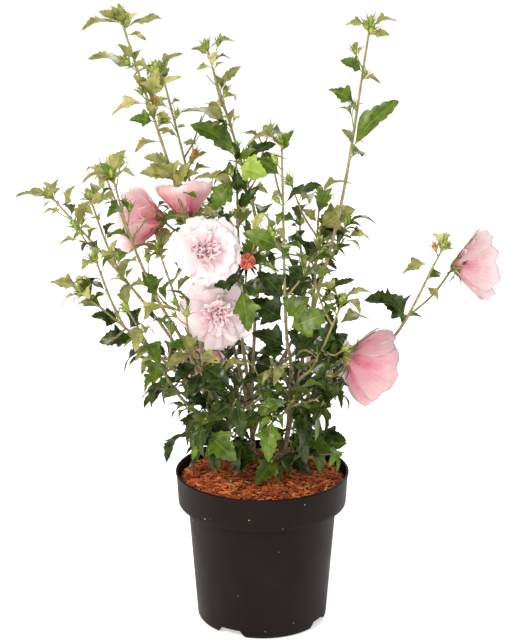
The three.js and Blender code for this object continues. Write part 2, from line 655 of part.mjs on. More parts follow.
// A mass starts with its leader, the stretch of a path from a mark to the path's end.
function startMass(plan, path, from) {
  const leader = { number: 0, path, from, to: path.length, foot: KNEE_RADIUS, tip: LEADER_TIP_RADIUS };
  const solid = rootedLimb(plan.name, twigSolid(leader));
  const pieces = [keep(solid, plan.name)];
  const blossom = LEADER_BLOSSOM[plan.name.replace('foliage_', '')];
  if (blossom) {
    const start = path.frame(blend(from, path.length, blossom.at)).point;
    pieces.push(keep(rootedLimb(plan.name, blossomSolid(blossom, start, masses.length)), plan.name));
  }
  masses.push({ ...plan, leader, number: masses.length, twigs: [leader], pieces });
}

function addTwig(mass, twig) {
  const solid = twigSolid(twig);
  if (!isClear(solid, mass.name)) return;
  mass.twigs.push(twig);
  mass.pieces.push(keep(solid, mass.name));
}

for (const cane of CANES) {
  const { path, kneeMark } = boughs[cane.name];
  startMass({ ...CANE_HABIT, ...cane, name: `foliage_${cane.name}` }, path, kneeMark + GAP);
}

for (const spray of LOW_SPRAYS) {
  const stem = stems[spray.stem];
  const { point } = stem.frame(BURIED + spray.at * (stem.length - BURIED));
  const tip = vector(spray.tip);
  const middle = point.clone().lerp(tip, 0.5);
  middle.z += SPRAY_BOW * point.distanceTo(tip);
  startMass({ ...LOW_HABIT, ...spray, name: `foliage_${spray.name}` }, new Path([point, middle, tip]), 0);
}

for (const mass of masses) {
  for (let f = 0; f < mass.forks.length; f++) addTwig(mass, forkTwig(mass, f));
  for (let t = 0; t < mass.sprigs; t++) addTwig(mass, sideTwig(mass, t));
}

// Leaves are the last to grow, and one that would touch another piece is skipped.
for (const mass of masses) {
  for (const twig of mass.twigs) {
    for (const leaf of twigLeaves(mass, twig)) {
      if (leafIsClear(leaf, mass.name)) mass.pieces.push(keep(leafSolid(leaf), mass.name, true));
    }
  }
  for (const twig of mass.twigs.filter((each) => each.number <= mass.forks.length)) {
    const bud = tipBud(twig);
    if (isClear(bud, mass.name)) mass.pieces.push(keep(bud, mass.name));
  }
  const joined = mass.pieces.reduce((whole, piece) => whole.add(piece));
  addNode(mass.name, largestPiece(joined), mass.finish);
}

export default shrub;
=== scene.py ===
"""Hibiscus shrub in a nursery pot: the looks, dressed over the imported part.

Shapes are worked out in millimetres in the part's own frame, +Z up and the front towards -Y, and go
into the meshes in metres. The crown grows from the part's own tables by the part's own rule.
"""

from __future__ import annotations

import logging
import math
from dataclasses import dataclass, field, replace
from enum import Enum
from typing import Any, Mapping, Sequence

import bpy
import numpy as np
from bpy.types import Material, NodeSocket, Object
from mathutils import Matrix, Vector

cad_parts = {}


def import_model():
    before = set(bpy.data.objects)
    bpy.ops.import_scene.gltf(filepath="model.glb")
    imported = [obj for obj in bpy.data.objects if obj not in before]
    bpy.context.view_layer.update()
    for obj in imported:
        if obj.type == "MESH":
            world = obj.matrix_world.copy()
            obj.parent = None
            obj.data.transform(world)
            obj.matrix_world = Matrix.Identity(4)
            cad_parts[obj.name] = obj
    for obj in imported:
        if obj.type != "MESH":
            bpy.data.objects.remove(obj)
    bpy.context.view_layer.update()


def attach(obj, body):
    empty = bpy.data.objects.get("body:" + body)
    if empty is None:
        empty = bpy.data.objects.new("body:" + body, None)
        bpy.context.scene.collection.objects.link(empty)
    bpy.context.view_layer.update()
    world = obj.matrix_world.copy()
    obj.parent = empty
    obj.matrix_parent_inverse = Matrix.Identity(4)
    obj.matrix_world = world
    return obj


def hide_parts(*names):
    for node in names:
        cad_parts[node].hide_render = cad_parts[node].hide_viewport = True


Array = np.ndarray
LOG = logging.getLogger("hibiscus")
MM = 0.001
IMAGE_HEIGHT = 640
GOLDEN_TURN = math.radians(137.5)
TURN = 2 * math.pi
UP = np.array([0.0, 0.0, 1.0])


# Small tools


def linear(colour: int) -> tuple[float, float, float, float]:
    """Turns an sRGB hex colour into the linear RGBA that a shader socket takes.

    A dark share is divided by 12.92. Any other has 0.055 added, is divided by 1.055 and raised to 2.4.

    Args:
        colour: Red, green and blue as one hex number.

    Returns:
        The linear shares and full opacity.
    """
    shares = [((colour >> shift) & 255) / 255 for shift in (16, 8, 0)]
    low_or_high = [s / 12.92 if s <= 0.04045 else ((s + 0.055) / 1.055) ** 2.4 for s in shares]
    return (*low_or_high, 1.0)


def unit(vectors: Any) -> Array:
    """Vectors scaled to length one along their last axis."""
    return np.asarray(vectors, float) / np.maximum(np.linalg.norm(vectors, axis=-1, keepdims=True), 1e-12)


def blend(start: Any, end: Any, share: Any) -> Any:
    """The value at a share of the way from start to end."""
    return start + (end - start) * share


def polar(radius: Any, angle: Any, height: Any) -> Array:
    """Points at a radius and an angle about the upright axis, and at a height."""
    return np.stack(np.broadcast_arrays(radius * np.cos(angle), radius * np.sin(angle), height), -1)


def round_angles(count: int) -> Array:
    """Even angles for so many places in one turn."""
    return TURN * np.arange(count) / count


def dice(*keys: int) -> float:
    """A repeatable share for a list of whole numbers, as in the part's source.

    Each key is mixed in by an exclusive or, a product and a shift, and the mix is stirred twice.

    Args:
        keys: The whole numbers.

    Returns:
        A share between 0 and 1.
    """
    mix = 2166136261
    for key in keys:
        mix = ((mix ^ key) * 16777619) & 0xFFFFFFFF
        mix ^= mix >> 15
    for shift, stir in ((16, 2246822507), (13, 3266489909)):
        mix = ((mix ^ (mix >> shift)) * stir) & 0xFFFFFFFF
    return (mix ^ (mix >> 16)) / 4294967296


def lattice_noise(u: Array, v: Array, seed: int, around: int) -> Array:
    """Smooth noise from -1 to 1 that closes on itself in u.

    A lattice of even random values is blended with a smooth step in both directions.

    Args:
        u: Share of the way round, where 1 meets 0 again.
        v: Place along, in lattice steps.
        seed: Seed of the lattice.
        around: Lattice steps in one turn.

    Returns:
        One value for each pair of u and v.
    """
    lattice = np.random.default_rng(seed).uniform(-1, 1, (int(np.max(v)) + 3, around))
    x, y = u * around, np.maximum(v, 0)
    i, j = np.floor(x).astype(int), np.floor(y).astype(int)
    s, t = x - i, y - j
    s, t = s * s * (3 - 2 * s), t * t * (3 - 2 * t)
    low = blend(lattice[j, i % around], lattice[j, (i + 1) % around], s)
    high = blend(lattice[j + 1, i % around], lattice[j + 1, (i + 1) % around], s)
    return blend(low, high, t)


@dataclass
class Shape:
    """Points, faces and the faces' corner UVs of one or more surfaces, in millimetres."""

    points: Array
    quads: Array = field(default_factory=lambda: np.zeros((0, 4), int))
    quad_uv: Array = field(default_factory=lambda: np.zeros((0, 4, 2)))
    tris: Array = field(default_factory=lambda: np.zeros((0, 3), int))
    tri_uv: Array = field(default_factory=lambda: np.zeros((0, 3, 2)))

    @staticmethod
    def joined(shapes: Sequence[Shape]) -> Shape:
        """Puts shapes together, with their point numbers moved on.

        Args:
            shapes: The shapes.

        Returns:
            All of them in one.
        """
        starts = np.cumsum([0] + [len(s.points) for s in shapes[:-1]])
        return Shape(
            np.concatenate([s.points for s in shapes]),
            np.concatenate([s.quads + n for s, n in zip(shapes, starts)]),
            np.concatenate([s.quad_uv for s in shapes]),
            np.concatenate([s.tris + n for s, n in zip(shapes, starts)]),
            np.concatenate([s.tri_uv for s in shapes]),
        )

    def stamped(self, points: Array) -> Shape:
        """Copies of this shape's faces, one for each set of points.

        Args:
            points: The places of the points of each copy, of shape (copies, points, 3).

        Returns:
            The copies as one shape.
        """
        copies, size, _ = points.shape
        moves = (np.arange(copies) * size)[:, None, None]
        return Shape(
            points.reshape(-1, 3),
            (self.quads[None] + moves).reshape(-1, 4),
            np.tile(self.quad_uv, (copies, 1, 1)),
            (self.tris[None] + moves).reshape(-1, 3),
            np.tile(self.tri_uv, (copies, 1, 1)),
        )

    def set_at(self, turn: Array, place_at: Array) -> Shape:
        """This shape turned by a matrix and moved to a place."""
        return replace(self, points=self.points @ turn.T + place_at)


def grid_shape(points: Array, closed: bool = False, capped: bool = False, flip: bool = False) -> Shape:
    """The surface over a grid of points, with its UV running along the columns and rows.

    Args:
        points: Grid of shape (rows, columns, 3).
        closed: True where the last column meets the first one.
        capped: True where the first and last row each close in a middle point.
        flip: True to turn the faces round.

    Returns:
        The surface as a shape.
    """
    rows, columns, _ = points.shape
    steps_u, steps_v = (columns if closed else columns - 1), rows - 1
    i, j = (n.ravel() for n in np.meshgrid(np.arange(steps_v), np.arange(steps_u), indexing="ij"))
    corners = [(i, j), (i + 1, j), (i + 1, j + 1), (i, j + 1)]
    quads = np.stack([a * columns + b % columns for a, b in corners], 1)
    uv = np.stack([np.stack([b / steps_u, a / steps_v], -1) for a, b in corners], 1)
    flat = points.reshape(-1, 3)
    tris, tri_uv = np.zeros((0, 3), int), np.zeros((0, 3, 2))
    if capped:
        flat = np.concatenate([flat, points[:1].mean(1), points[-1:].mean(1)])
        ring = np.arange(columns)
        after = (ring + 1) % columns
        last, pole = (rows - 1) * columns, rows * columns
        foot = np.stack([np.full(columns, pole), ring, after], 1)
        head = np.stack([np.full(columns, pole + 1), last + after, last + ring], 1)
        tris = np.concatenate([foot, head])
        share = np.stack([ring / columns, ring / columns, (ring + 1) / columns], 1)
        tri_uv = np.concatenate([np.stack([share, np.full_like(share, end)], -1) for end in (0, 1)])
    if flip:
        quads, uv, tris, tri_uv = (each[:, ::-1] for each in (quads, uv, tris, tri_uv))
    return Shape(flat, quads, uv, tris, tri_uv)


def make_object(name: str, shape: Shape, material: Material, sharp_deg: float = 180) -> Object:
    """Puts a shape into a new mesh object at the origin.

    Args:
        name: Name of the piece.
        shape: The surface, in millimetres.
        material: Its finish.
        sharp_deg: Edges that turn by more than this stay sharp.

    Returns:
        The linked object.
    """
    mesh = bpy.data.meshes.new(name)
    quads, tris = len(shape.quads), len(shape.tris)
    mesh.vertices.add(len(shape.points))
    mesh.vertices.foreach_set("co", (shape.points * MM).astype(np.float32).ravel())
    loops = np.concatenate([shape.quads.ravel(), shape.tris.ravel()]).astype(np.int32)
    mesh.loops.add(len(loops))
    mesh.loops.foreach_set("vertex_index", loops)
    mesh.polygons.add(quads + tris)
    starts = np.concatenate([np.arange(quads) * 4, quads * 4 + np.arange(tris) * 3]).astype(np.int32)
    mesh.polygons.foreach_set("loop_start", starts)
    mesh.update(calc_edges=True)
    layer = mesh.uv_layers.new(name="surface")
    uv = np.concatenate([shape.quad_uv.reshape(-1, 2), shape.tri_uv.reshape(-1, 2)])
    layer.uv.foreach_set("vector", uv.astype(np.float32).ravel())
    mesh.polygons.foreach_set("use_smooth", np.ones(quads + tris, bool))
    if sharp_deg < 180:
        mesh.set_sharp_from_angle(angle=math.radians(sharp_deg))
    mesh.materials.append(material)
    made = bpy.data.objects.new(name, mesh)
    bpy.context.scene.collection.objects.link(made)
    return made


def place(piece: Object, nodes: Sequence[str] = ()) -> None:
    """Rides a piece on the plant's one body, hides the CAD nodes that it stands for, and logs its faces.

    Args:
        piece: The finished piece.
        nodes: The CAD nodes that it stands for.
    """
    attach(piece, "root")
    if nodes:
        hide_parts(*nodes)
    LOG.info("%s: %d faces", piece.name, len(piece.data.polygons))


def bake_modifiers(piece: Object) -> None:
    """Puts what a piece's modifiers make into its own mesh.

    Args:
        piece: The piece, which loses its modifiers.
    """
    bpy.context.view_layer.update()
    graph = bpy.context.evaluated_depsgraph_get()
    made = bpy.data.meshes.new_from_object(piece.evaluated_get(graph))
    piece.modifiers.clear()
    piece.data = made


# Finishes


class Recipe:
    """A node material in the making, with its tree and the object's own coordinates."""

    def __init__(self, name: str) -> None:
        """Starts the material.

        Args:
            name: The material's name.
        """
        self.material = bpy.data.materials.new(name)
        self.material.use_nodes = True
        self.tree = self.material.node_tree
        self.spot = self.add("TexCoord").node.outputs["Object"]

    def fill(self, socket: NodeSocket, value: Any) -> None:
        """Gives an input what it takes.

        Args:
            socket: The input.
            value: An output to link, a plain value, or a colour as sRGB hex.
        """
        if isinstance(value, NodeSocket):
            self.tree.links.new(value, socket)
        else:
            socket.default_value = linear(value) if socket.type == "RGBA" else value

    def add(self, kind: str, *values: Any, **named: Any) -> NodeSocket:
        """Adds one node with its settings and links.

        Args:
            kind: The node's type, without the prefix of all shader nodes.
            values: What its inputs in use take, in their order.
            named: Its settings, and by their capitalised names the inputs that values leave out.

        Returns:
            Its first output in use.
        """
        node = self.tree.nodes.new(f"ShaderNode{kind}")
        for name, value in named.items():
            if name.islower():
                setattr(node, name, value)
            else:
                self.fill(node.inputs[name], value)
        for socket, value in zip([s for s in node.inputs if s.enabled], values):
            self.fill(socket, value)
        return next(s for s in node.outputs if s.enabled)

    def finished(self, inputs: Mapping[str, Any]) -> Material:
        """Fills the shader's inputs.

        Args:
            inputs: What each named input takes.

        Returns:
            The material.
        """
        for name, value in inputs.items():
            self.fill(self.tree.nodes["Principled BSDF"].inputs[name], value)
        return self.material


@dataclass(frozen=True)
class LeafFinish:
    """Living hibiscus leaf: a waxy green sheet, glossier the older it is, with paler veins."""

    name: str
    green: int
    shade: int
    vein: int
    roughness: float

    def make(self) -> Material:
        """Builds the material.

        A midrib, two veins to the lobes and seven faint pairs of side veins run over green in soft
        blotches of 9 mm, and stand 0.3 mm in relief.

        Returns:
            The material.
        """
        leaf = Recipe(self.name)
        surface = leaf.add("SeparateXYZ", leaf.add("UVMap")).node.outputs
        off_middle = leaf.add("Math", surface["X"], 0.5, operation="SUBTRACT")
        aside = leaf.add("Math", off_middle, operation="ABSOLUTE")
        rib = leaf.add("MapRange", aside, 0.035, 0.0)
        slant = leaf.add("Math", aside, -0.55, surface["Y"], operation="MULTIPLY_ADD")
        stretched = leaf.add("Math", slant, 7.0, operation="MULTIPLY")
        wave = leaf.add("Math", stretched, 0.5, operation="PINGPONG")
        side_vein = leaf.add("MapRange", wave, 0.1, 0.0, 0.0, 0.15)
        lobe = leaf.add("Math", surface["Y"], -0.8, aside, operation="MULTIPLY_ADD")
        off_lobe = leaf.add("Math", lobe, 0.04, operation="SUBTRACT")
        from_lobe = leaf.add("Math", off_lobe, operation="ABSOLUTE")
        lobe_vein = leaf.add("MapRange", from_lobe, 0.035, 0.0, 0.0, 0.7)
        outer_veins = leaf.add("Math", side_vein, lobe_vein, operation="MAXIMUM")
        veins = leaf.add("Math", rib, outer_veins, operation="MAXIMUM")
        blotches = leaf.add("MapRange", leaf.add("TexNoise", leaf.spot, 1 / (9 * MM), 3), 0.35, 0.65)
        body = leaf.add("Mix", blotches, self.shade, self.green, data_type="RGBA")
        faint = leaf.add("Math", veins, 0.55, operation="MULTIPLY")
        between = leaf.add("Math", 1.0, veins, operation="SUBTRACT")
        return leaf.finished({
            "Base Color": leaf.add("Mix", faint, body, self.vein, data_type="RGBA"),
            "Roughness": self.roughness,
            "IOR": 1.42,
            "Specular IOR Level": 0.34,
            "Normal": leaf.add("Bump", Height=between, Distance=0.3 * MM, Strength=0.35),
        })


@dataclass(frozen=True)
class PetalFinish:
    """Hibiscus petal: a matte, thin and slightly see-through sheet, deeper pink in its throat."""

    name: str
    pale: int
    blush: int
    deep: int
    throat: float
    blush_reach: float
    veined: float = 0.3
    streak: float = 0.0

    def make(self) -> Material:
        """Builds the material.

        Pink fades along the petal, uneven in blotches of 11 mm, under thirteen fine fanned veins and
        a streak along the middle.

        Returns:
            The material.
        """
        petal = Recipe(self.name)
        surface = petal.add("SeparateXYZ", petal.add("UVMap")).node.outputs
        clouds = petal.add("TexNoise", petal.spot, 1 / (11 * MM), 3)
        uneven = petal.add("MapRange", clouds, 0.3, 0.7, -0.12, 0.12)
        along = petal.add("Math", surface["Y"], uneven, operation="ADD")
        fans = petal.add("Math", surface["X"], 13.0, operation="MULTIPLY")
        veins = petal.add("MapRange", petal.add("Math", fans, 0.5, operation="PINGPONG"), 0.16, 0.0)
        fading = petal.add("MapRange", along, self.throat, self.blush_reach)
        blushed = petal.add("Mix", fading, self.blush, self.pale, data_type="RGBA")
        out_of_throat = petal.add("MapRange", along, 0.02, self.throat)
        deepened = petal.add("Mix", out_of_throat, self.deep, blushed, data_type="RGBA")
        fade = petal.add("MapRange", along, 0.25, 0.95, self.veined, self.veined * 0.3)
        vein_share = petal.add("Math", veins, fade, operation="MULTIPLY")
        veiny = petal.add("Mix", vein_share, deepened, self.deep, data_type="RGBA")
        off_middle = petal.add("Math", surface["X"], 0.5, operation="SUBTRACT")
        middle = petal.add("MapRange", petal.add("Math", off_middle, operation="ABSOLUTE"), 0.22, 0.02)
        band = petal.add("Math", middle, petal.add("MapRange", along, 0.92, 0.3), operation="MULTIPLY")
        streak = petal.add("Math", band, self.streak, operation="MULTIPLY")
        between = petal.add("Math", 1.0, veins, operation="SUBTRACT")
        return petal.finished({
            "Base Color": petal.add("Mix", streak, veiny, self.deep, data_type="RGBA"),
            "Roughness": 0.62,
            "Specular IOR Level": 0.3,
            "Subsurface Weight": 0.25,
            "Subsurface Radius": (1.0, 0.95, 0.95),
            "Subsurface Scale": 3 * MM,
            "Sheen Weight": 0.15,
            "Normal": petal.add("Bump", Height=between, Distance=0.15 * MM, Strength=self.veined),
        })


@dataclass(frozen=True)
class BarkFinish:
    """Thin young bark: dry and fibrous along the limb, with pale cork dots."""

    name: str
    bark: int
    streak: int
    dot: int
    roughness: float

    def make(self) -> Material:
        """Builds the material: streaks of 1.6 mm drawn out along the limb, and a cork dot every 5 mm.

        Returns:
            The material.
        """
        bark = Recipe(self.name)
        drawn = bark.add("Mapping", bark.spot, Scale=(1.0, 1.0, 0.12))
        streaks = bark.add("TexNoise", drawn, 1 / (1.6 * MM), 4)
        between = bark.add("MapRange", streaks, 0.38, 0.62)
        body = bark.add("Mix", between, self.streak, self.bark, data_type="RGBA")
        dots = bark.add("MapRange", bark.add("TexVoronoi", bark.spot, 1 / (5 * MM)), 0.22, 0.12)
        faint = bark.add("Math", dots, 0.7, operation="MULTIPLY")
        return bark.finished({
            "Base Color": bark.add("Mix", faint, body, self.dot, data_type="RGBA"),
            "Roughness": self.roughness,
            "Normal": bark.add("Bump", Height=streaks, Distance=0.4 * MM, Strength=0.7),
        })


@dataclass(frozen=True)
class PolypropyleneFinish:
    """Moulded recycled polypropylene of a nursery pot: satin black-brown, a little dusty."""

    name: str = "moulded_polypropylene"
    plastic: int = 0x140C0B
    dusty: int = 0x1E1515
    dirt: int = 0xB08E78

    def make(self) -> Material:
        """Builds the material: dust in blotches of 60 mm, specks of dirt and a fine orange-peel.

        Returns:
            The material.
        """
        pot = Recipe(self.name)
        dust = pot.add("MapRange", pot.add("TexNoise", pot.spot, 1 / (60 * MM), 4), 0.38, 0.72)
        body = pot.add("Mix", dust, self.plastic, self.dusty, data_type="RGBA")
        dots = pot.add("MapRange", pot.add("TexVoronoi", pot.spot, 1 / (17 * MM)), 0.075, 0.045)
        chosen = pot.add("MapRange", pot.add("TexNoise", pot.spot, 1 / (32 * MM), 1), 0.5, 0.56)
        specks = pot.add("Math", dots, chosen, operation="MULTIPLY")
        peel = pot.add("TexNoise", pot.spot, 1 / (1.4 * MM), 2)
        return pot.finished({
            "Base Color": pot.add("Mix", specks, body, self.dirt, data_type="RGBA"),
            "Roughness": pot.add("MapRange", dust, 0.0, 1.0, 0.46, 0.6),
            "Specular IOR Level": 0.1,
            "Normal": pot.add("Bump", Height=peel, Distance=0.08 * MM, Strength=0.5),
        })


@dataclass(frozen=True)
class BarkChipFinish:
    """Shredded bark mulch: dry split fibres, red-brown to orange."""

    name: str
    fibre: int
    shadow: int

    def make(self) -> Material:
        """Builds the material: fibre streaks along each chip, over blotches of 6 mm.

        Returns:
            The material.
        """
        chip = Recipe(self.name)
        drawn = chip.add("Mapping", chip.add("UVMap"), Scale=(9.0, 1.2, 1.0))
        fibres = chip.add("TexNoise", drawn, 2.0, 3)
        blotches = chip.add("MapRange", chip.add("TexNoise", chip.spot, 1 / (6 * MM), 3), 0.35, 0.65)
        pale = chip.add("MapRange", fibres, 0.35, 0.6)
        share = chip.add("Math", blotches, pale, operation="MULTIPLY")
        return chip.finished({
            "Base Color": chip.add("Mix", share, self.shadow, self.fibre, data_type="RGBA"),
            "Roughness": 0.88,
            "Normal": chip.add("Bump", Height=fibres, Distance=0.3 * MM, Strength=0.6),
        })


@dataclass(frozen=True)
class PaperFinish:
    """Matte studio paper under and behind the plant."""

    name: str = "studio_paper"
    paper: int = 0xFBFAF8
    bright: int = 0xFDFDFC

    def make(self) -> Material:
        """Builds the material: near white, with the faintest blotches of 400 mm.

        Returns:
            The material.
        """
        sheet = Recipe(self.name)
        share = sheet.add("MapRange", sheet.add("TexNoise", sheet.spot, 1 / (400 * MM), 1), 0.3, 0.7)
        return sheet.finished({
            "Base Color": sheet.add("Mix", share, self.paper, self.bright, data_type="RGBA"),
            "Roughness": 0.95,
            "Emission Color": self.paper,
            "Emission Strength": 0.5,
        })


class Green(Enum):
    """Leaf colours, from the shaded foot of the shrub to its youngest tips."""

    DEEP = LeafFinish("leaf_deep_green", 0x34490E, 0x161F04, 0x5E7634, 0.24)
    MID = LeafFinish("leaf_mid_green", 0x5E781E, 0x3E5212, 0x8CA04C, 0.3)
    OLIVE = LeafFinish("leaf_olive_green", 0x9A9A56, 0x70723A, 0xC4C086, 0.38)
    YOUNG = LeafFinish("leaf_young_green", 0xC6C284, 0x9E9A5A, 0xE0DBAE, 0.42)
    LIME = LeafFinish("leaf_lime_green", 0x95AC40, 0x7E983A, 0xB8CC78, 0.46)


class Under(Enum):
    """Leaf undersides: matte and paler than the face."""

    SHADED = LeafFinish("leaf_underside_shaded", 0x50581F, 0x3A4213, 0x747E40, 0.6)
    PALE = LeafFinish("leaf_underside_pale", 0x9EA05C, 0x868A48, 0xBCBB84, 0.6)


@dataclass(frozen=True)
class View:
    """The photograph's camera and where it sees a point.

    A point's column and row are its offsets across and down the view over its distance ahead,
    times the focal length in pixels, from the picture's middle.
    """

    eye: tuple[float, float, float] = (-13, -2110, 1008)
    pitch_deg: float = 15.7
    focal_px: float = 1678
    middle_px: tuple[float, float] = (252.5, 320)

    def axes(self) -> Array:
        """Three rows that point across the picture, down it and ahead."""
        level, drop = math.cos(math.radians(self.pitch_deg)), math.sin(math.radians(self.pitch_deg))
        return np.array([(1, 0, 0), (0, -drop, -level), (0, level, -drop)])

    def pixels(self, points: Array) -> Array:
        """The columns and rows of points of shape (..., 3), in millimetres."""
        off = (points - np.array(self.eye)) @ self.axes().T
        return self.focal_px * off[..., :2] / off[..., 2:] + self.middle_px

    def at_depth(self, pixel: tuple[float, float], y: float) -> Array:
        """The point at a depth y that is seen at a pixel."""
        ray = np.append(np.subtract(pixel, self.middle_px) / self.focal_px, 1) @ self.axes()
        return self.eye + ray * (y - self.eye[1]) / ray[1]


VIEW = View()


# Growing rule


@dataclass
class Frames:
    """Places along a path, each with its heading and two cross directions."""

    point: Array
    heading: Array
    across: Array
    over: Array

    def lean_out(self, turn: float, lean: float) -> Array:
        """The heading leant out by an angle and turned about itself."""
        return (self.heading * math.cos(lean) + self.across * math.sin(lean) * math.cos(turn)
                + self.over * math.sin(lean) * math.sin(turn))


class Path:
    """A smooth path through its points, walked by length, as in the part's source."""

    SAMPLES = 30

    def __init__(self, knots: Sequence[Sequence[float]]) -> None:
        """Samples the curve through the knots.

        The curve is a centripetal Catmull-Rom one: each span's end slopes come from its
        neighbours, weighed by the square roots of their lengths.

        Args:
            knots: The points that the path runs through.
        """
        given = np.asarray(knots, float)
        padded = np.concatenate([[2 * given[0] - given[1]], given, [2 * given[-1] - given[-2]]])
        spans = len(given) - 1
        walk = np.arange(self.SAMPLES + 1) / self.SAMPLES * spans
        i = np.minimum(walk.astype(int), spans - 1)
        t = (walk - i)[:, None]
        p0, p1, p2, p3 = (padded[i + n] for n in range(4))
        d0, d1, d2 = (np.sqrt(np.linalg.norm(b - a, axis=1))[:, None]
                      for a, b in ((p0, p1), (p1, p2), (p2, p3)))
        slope_a = ((p1 - p0) / d0 - (p2 - p0) / (d0 + d1) + (p2 - p1) / d1) * d1
        slope_b = ((p2 - p1) / d1 - (p3 - p1) / (d1 + d2) + (p3 - p2) / d2) * d1
        square = -3 * p1 + 3 * p2 - 2 * slope_a - slope_b
        cube = 2 * p1 - 2 * p2 + slope_a + slope_b
        self.points = p1 + slope_a * t + square * t**2 + cube * t**3
        steps = np.linalg.norm(np.diff(self.points, axis=0), axis=1)
        self.marks = np.concatenate([[0.0], np.cumsum(steps)])
        self.length = float(self.marks[-1])
        chord = unit(self.points[-1] - self.points[0])
        self.guide = UP if abs(chord[2]) < 0.8 else np.array([1.0, 0.0, 0.0])
        ahead = np.concatenate([self.points[1:], self.points[-1:]])
        behind = np.concatenate([self.points[:1], self.points[:-1]])
        self.headings = unit(ahead - behind)

    def frames(self, distances: Any) -> Frames:
        """Place and directions at one or many distances from the start.

        Between two samples the place and the heading are blended. Across is a fixed guide less its
        part along the heading.

        Args:
            distances: One distance, or an array of them.

        Returns:
            The frames there.
        """
        walked = np.asarray(distances, float)
        i = np.clip(np.searchsorted(self.marks, walked) - 1, 0, len(self.points) - 2)
        share = ((walked - self.marks[i]) / (self.marks[i + 1] - self.marks[i]))[..., None]
        point = blend(self.points[i], self.points[i + 1], share)
        heading = unit(blend(self.headings[i], self.headings[i + 1], share))
        along = (heading @ self.guide)[..., None]
        across = unit(self.guide - along * heading)
        return Frames(point, heading, across, np.cross(across, heading))


def bowed(start: Array, end: Any, share: float, rise: float) -> Path:
    """A path through a point at a share of the way, which is raised by a share of the distance."""
    middle = blend(start, np.asarray(end), share) + rise * np.linalg.norm(end - start) * UP
    return Path([start, middle, end])


@dataclass
class Twig:
    """A stretch of path that bears leaves, with its number in its mass and its radii."""

    number: int
    path: Path
    start: float
    end: float
    foot: float
    tip: float


@dataclass(frozen=True)
class Joint:
    """Where a twig bears leaves.

    Its keys are the numbers of the mass, the twig and the joint. Its main leaf has the length and
    the colour.
    """

    twig: Twig
    keys: tuple[int, int, int]
    walked: float
    length: float
    green: Green


@dataclass
class Leaf:
    """One leaf: where it is rooted, the way it grows, and its own whims."""

    root: Array
    along: Array
    side: Array
    length: float
    green: Green
    keys: tuple[int, ...]
    slim: float = 1.0


@dataclass
class SmallBud:
    """A small bud: its foot, the way it points, its length, the key of its whims and its colour."""

    foot: Array
    heading: Array
    size: float
    key: int
    orange: bool = False


@dataclass(frozen=True)
class Habit:
    """How a form of flower stands: its cup's scale, the room it keeps clear ahead, and its bracts."""

    cup: float
    room: float
    bracts: int
    bract_length: float
    bract_spread: float
    bract_stout: float


class Kind(Enum):
    """The forms that blossom takes on this shrub."""

    DOUBLE = Habit(1.0, 120, 7, 19, 1.0, 2.2)
    TRUMPET = Habit(1.6, 45, 10, 30, 0.8, 3.2)
    BUD = Habit(0.8, 26, 11, 25, 1.45, 2.6)


@dataclass(frozen=True)
class Cane:
    """A limb: the stem it leaves, its knee, where foliage starts, its tip and its habit."""

    name: str
    stem: str
    at: float
    knee: tuple[float, float, float]
    tip: tuple[float, float, float]
    leaf: tuple[float, float]
    step: float
    sprigs: int
    forks: tuple[tuple[float, tuple[float, float, float]], ...] = ()


@dataclass(frozen=True)
class Bloom:
    """A flower: its form, what bears it, its heart, the way it faces and its radius."""

    name: str
    kind: Kind
    bearer: str
    at: float
    heart: tuple[float, float, float]
    facing: tuple[float, float, float]
    radius: float


STEMS = {
    "right": ((30, 21), (36, 14, 275), (39, 8, 347)),
    "centre": ((-12, 56), (-15, 50, 262), (-19, 40, 313)),
    "left": ((-38, 25), (-55, 15, 262), (-76, 0, 316)),
}

CANES = (
    Cane("far_left", "left", 0.56, (-162, 40, 434), (-278, 75, 562), (38, 34), 30, 1,
         ((0.22, (-231, 110, 552)),)),
    Cane("upper_left", "left", 0.9, (-138, -30, 457), (-195, -70, 620), (38, 32), 30, 1,
         ((0.3, (-182, -100, 620)),)),
    Cane("mid_left", "left", 0.7, (-84, -24, 366), (-131, -25, 509), (42, 36), 25, 3),
    Cane("low_left", "left", 0.4, (-130, -46, 376), (-222, -95, 475), (42, 36), 28, 1,
         ((0.5, (-205, -100, 517)),)),
    Cane("lowest_left", "left", 0.24, (-105, -35, 318), (-168, -85, 450), (46, 38), 26, 2),
    Cane("tall_left", "left", 1, (-100, 10, 543), (-179, 50, 794), (38, 34), 36, 0,
         ((0.55, (-137, 30, 731)),)),
    Cane("tall_left_back", "left", 0.8, (-82, 95, 505), (-134, 140, 720), (40, 34), 31, 1),
    Cane("centre_tall", "centre", 0.55, (-4, 95, 500), (-73, 150, 748), (42, 34), 32, 2),
    Cane("right_tall", "right", 0.24, (101, 25, 559), (136, 45, 788), (40, 34), 39, 0),
    Cane("front_tall", "right", 1, (32, -8, 390), (23, -60, 655), (44, 36), 31, 3),
    Cane("centre", "centre", 1, (-26, 30, 372), (-34, 10, 630), (44, 40), 28, 4),
    Cane("right_mid", "centre", 0.75, (56, 60, 368), (79, 135, 550), (48, 42), 27, 3,
         ((0.4, (112, 95, 520)),)),
    Cane("far_right", "right", 0.5, (164, -20, 390), (226, -48, 520), (38, 34), 39, 0),
    Cane("right_bud", "right", 0.74, (66, -30, 360), (99, -85, 461), (44, 36), 27, 2),
    Cane("back_left", "centre", 0.42, (-50, 140, 376), (-71, 230, 506), (42, 36), 27, 2,
         ((0.4, (-110, 190, 500)),)),
    Cane("back_right", "centre", 0.3, (53, 140, 376), (55, 240, 489), (42, 36), 27, 2,
         ((0.4, (95, 195, 480)),)),
)

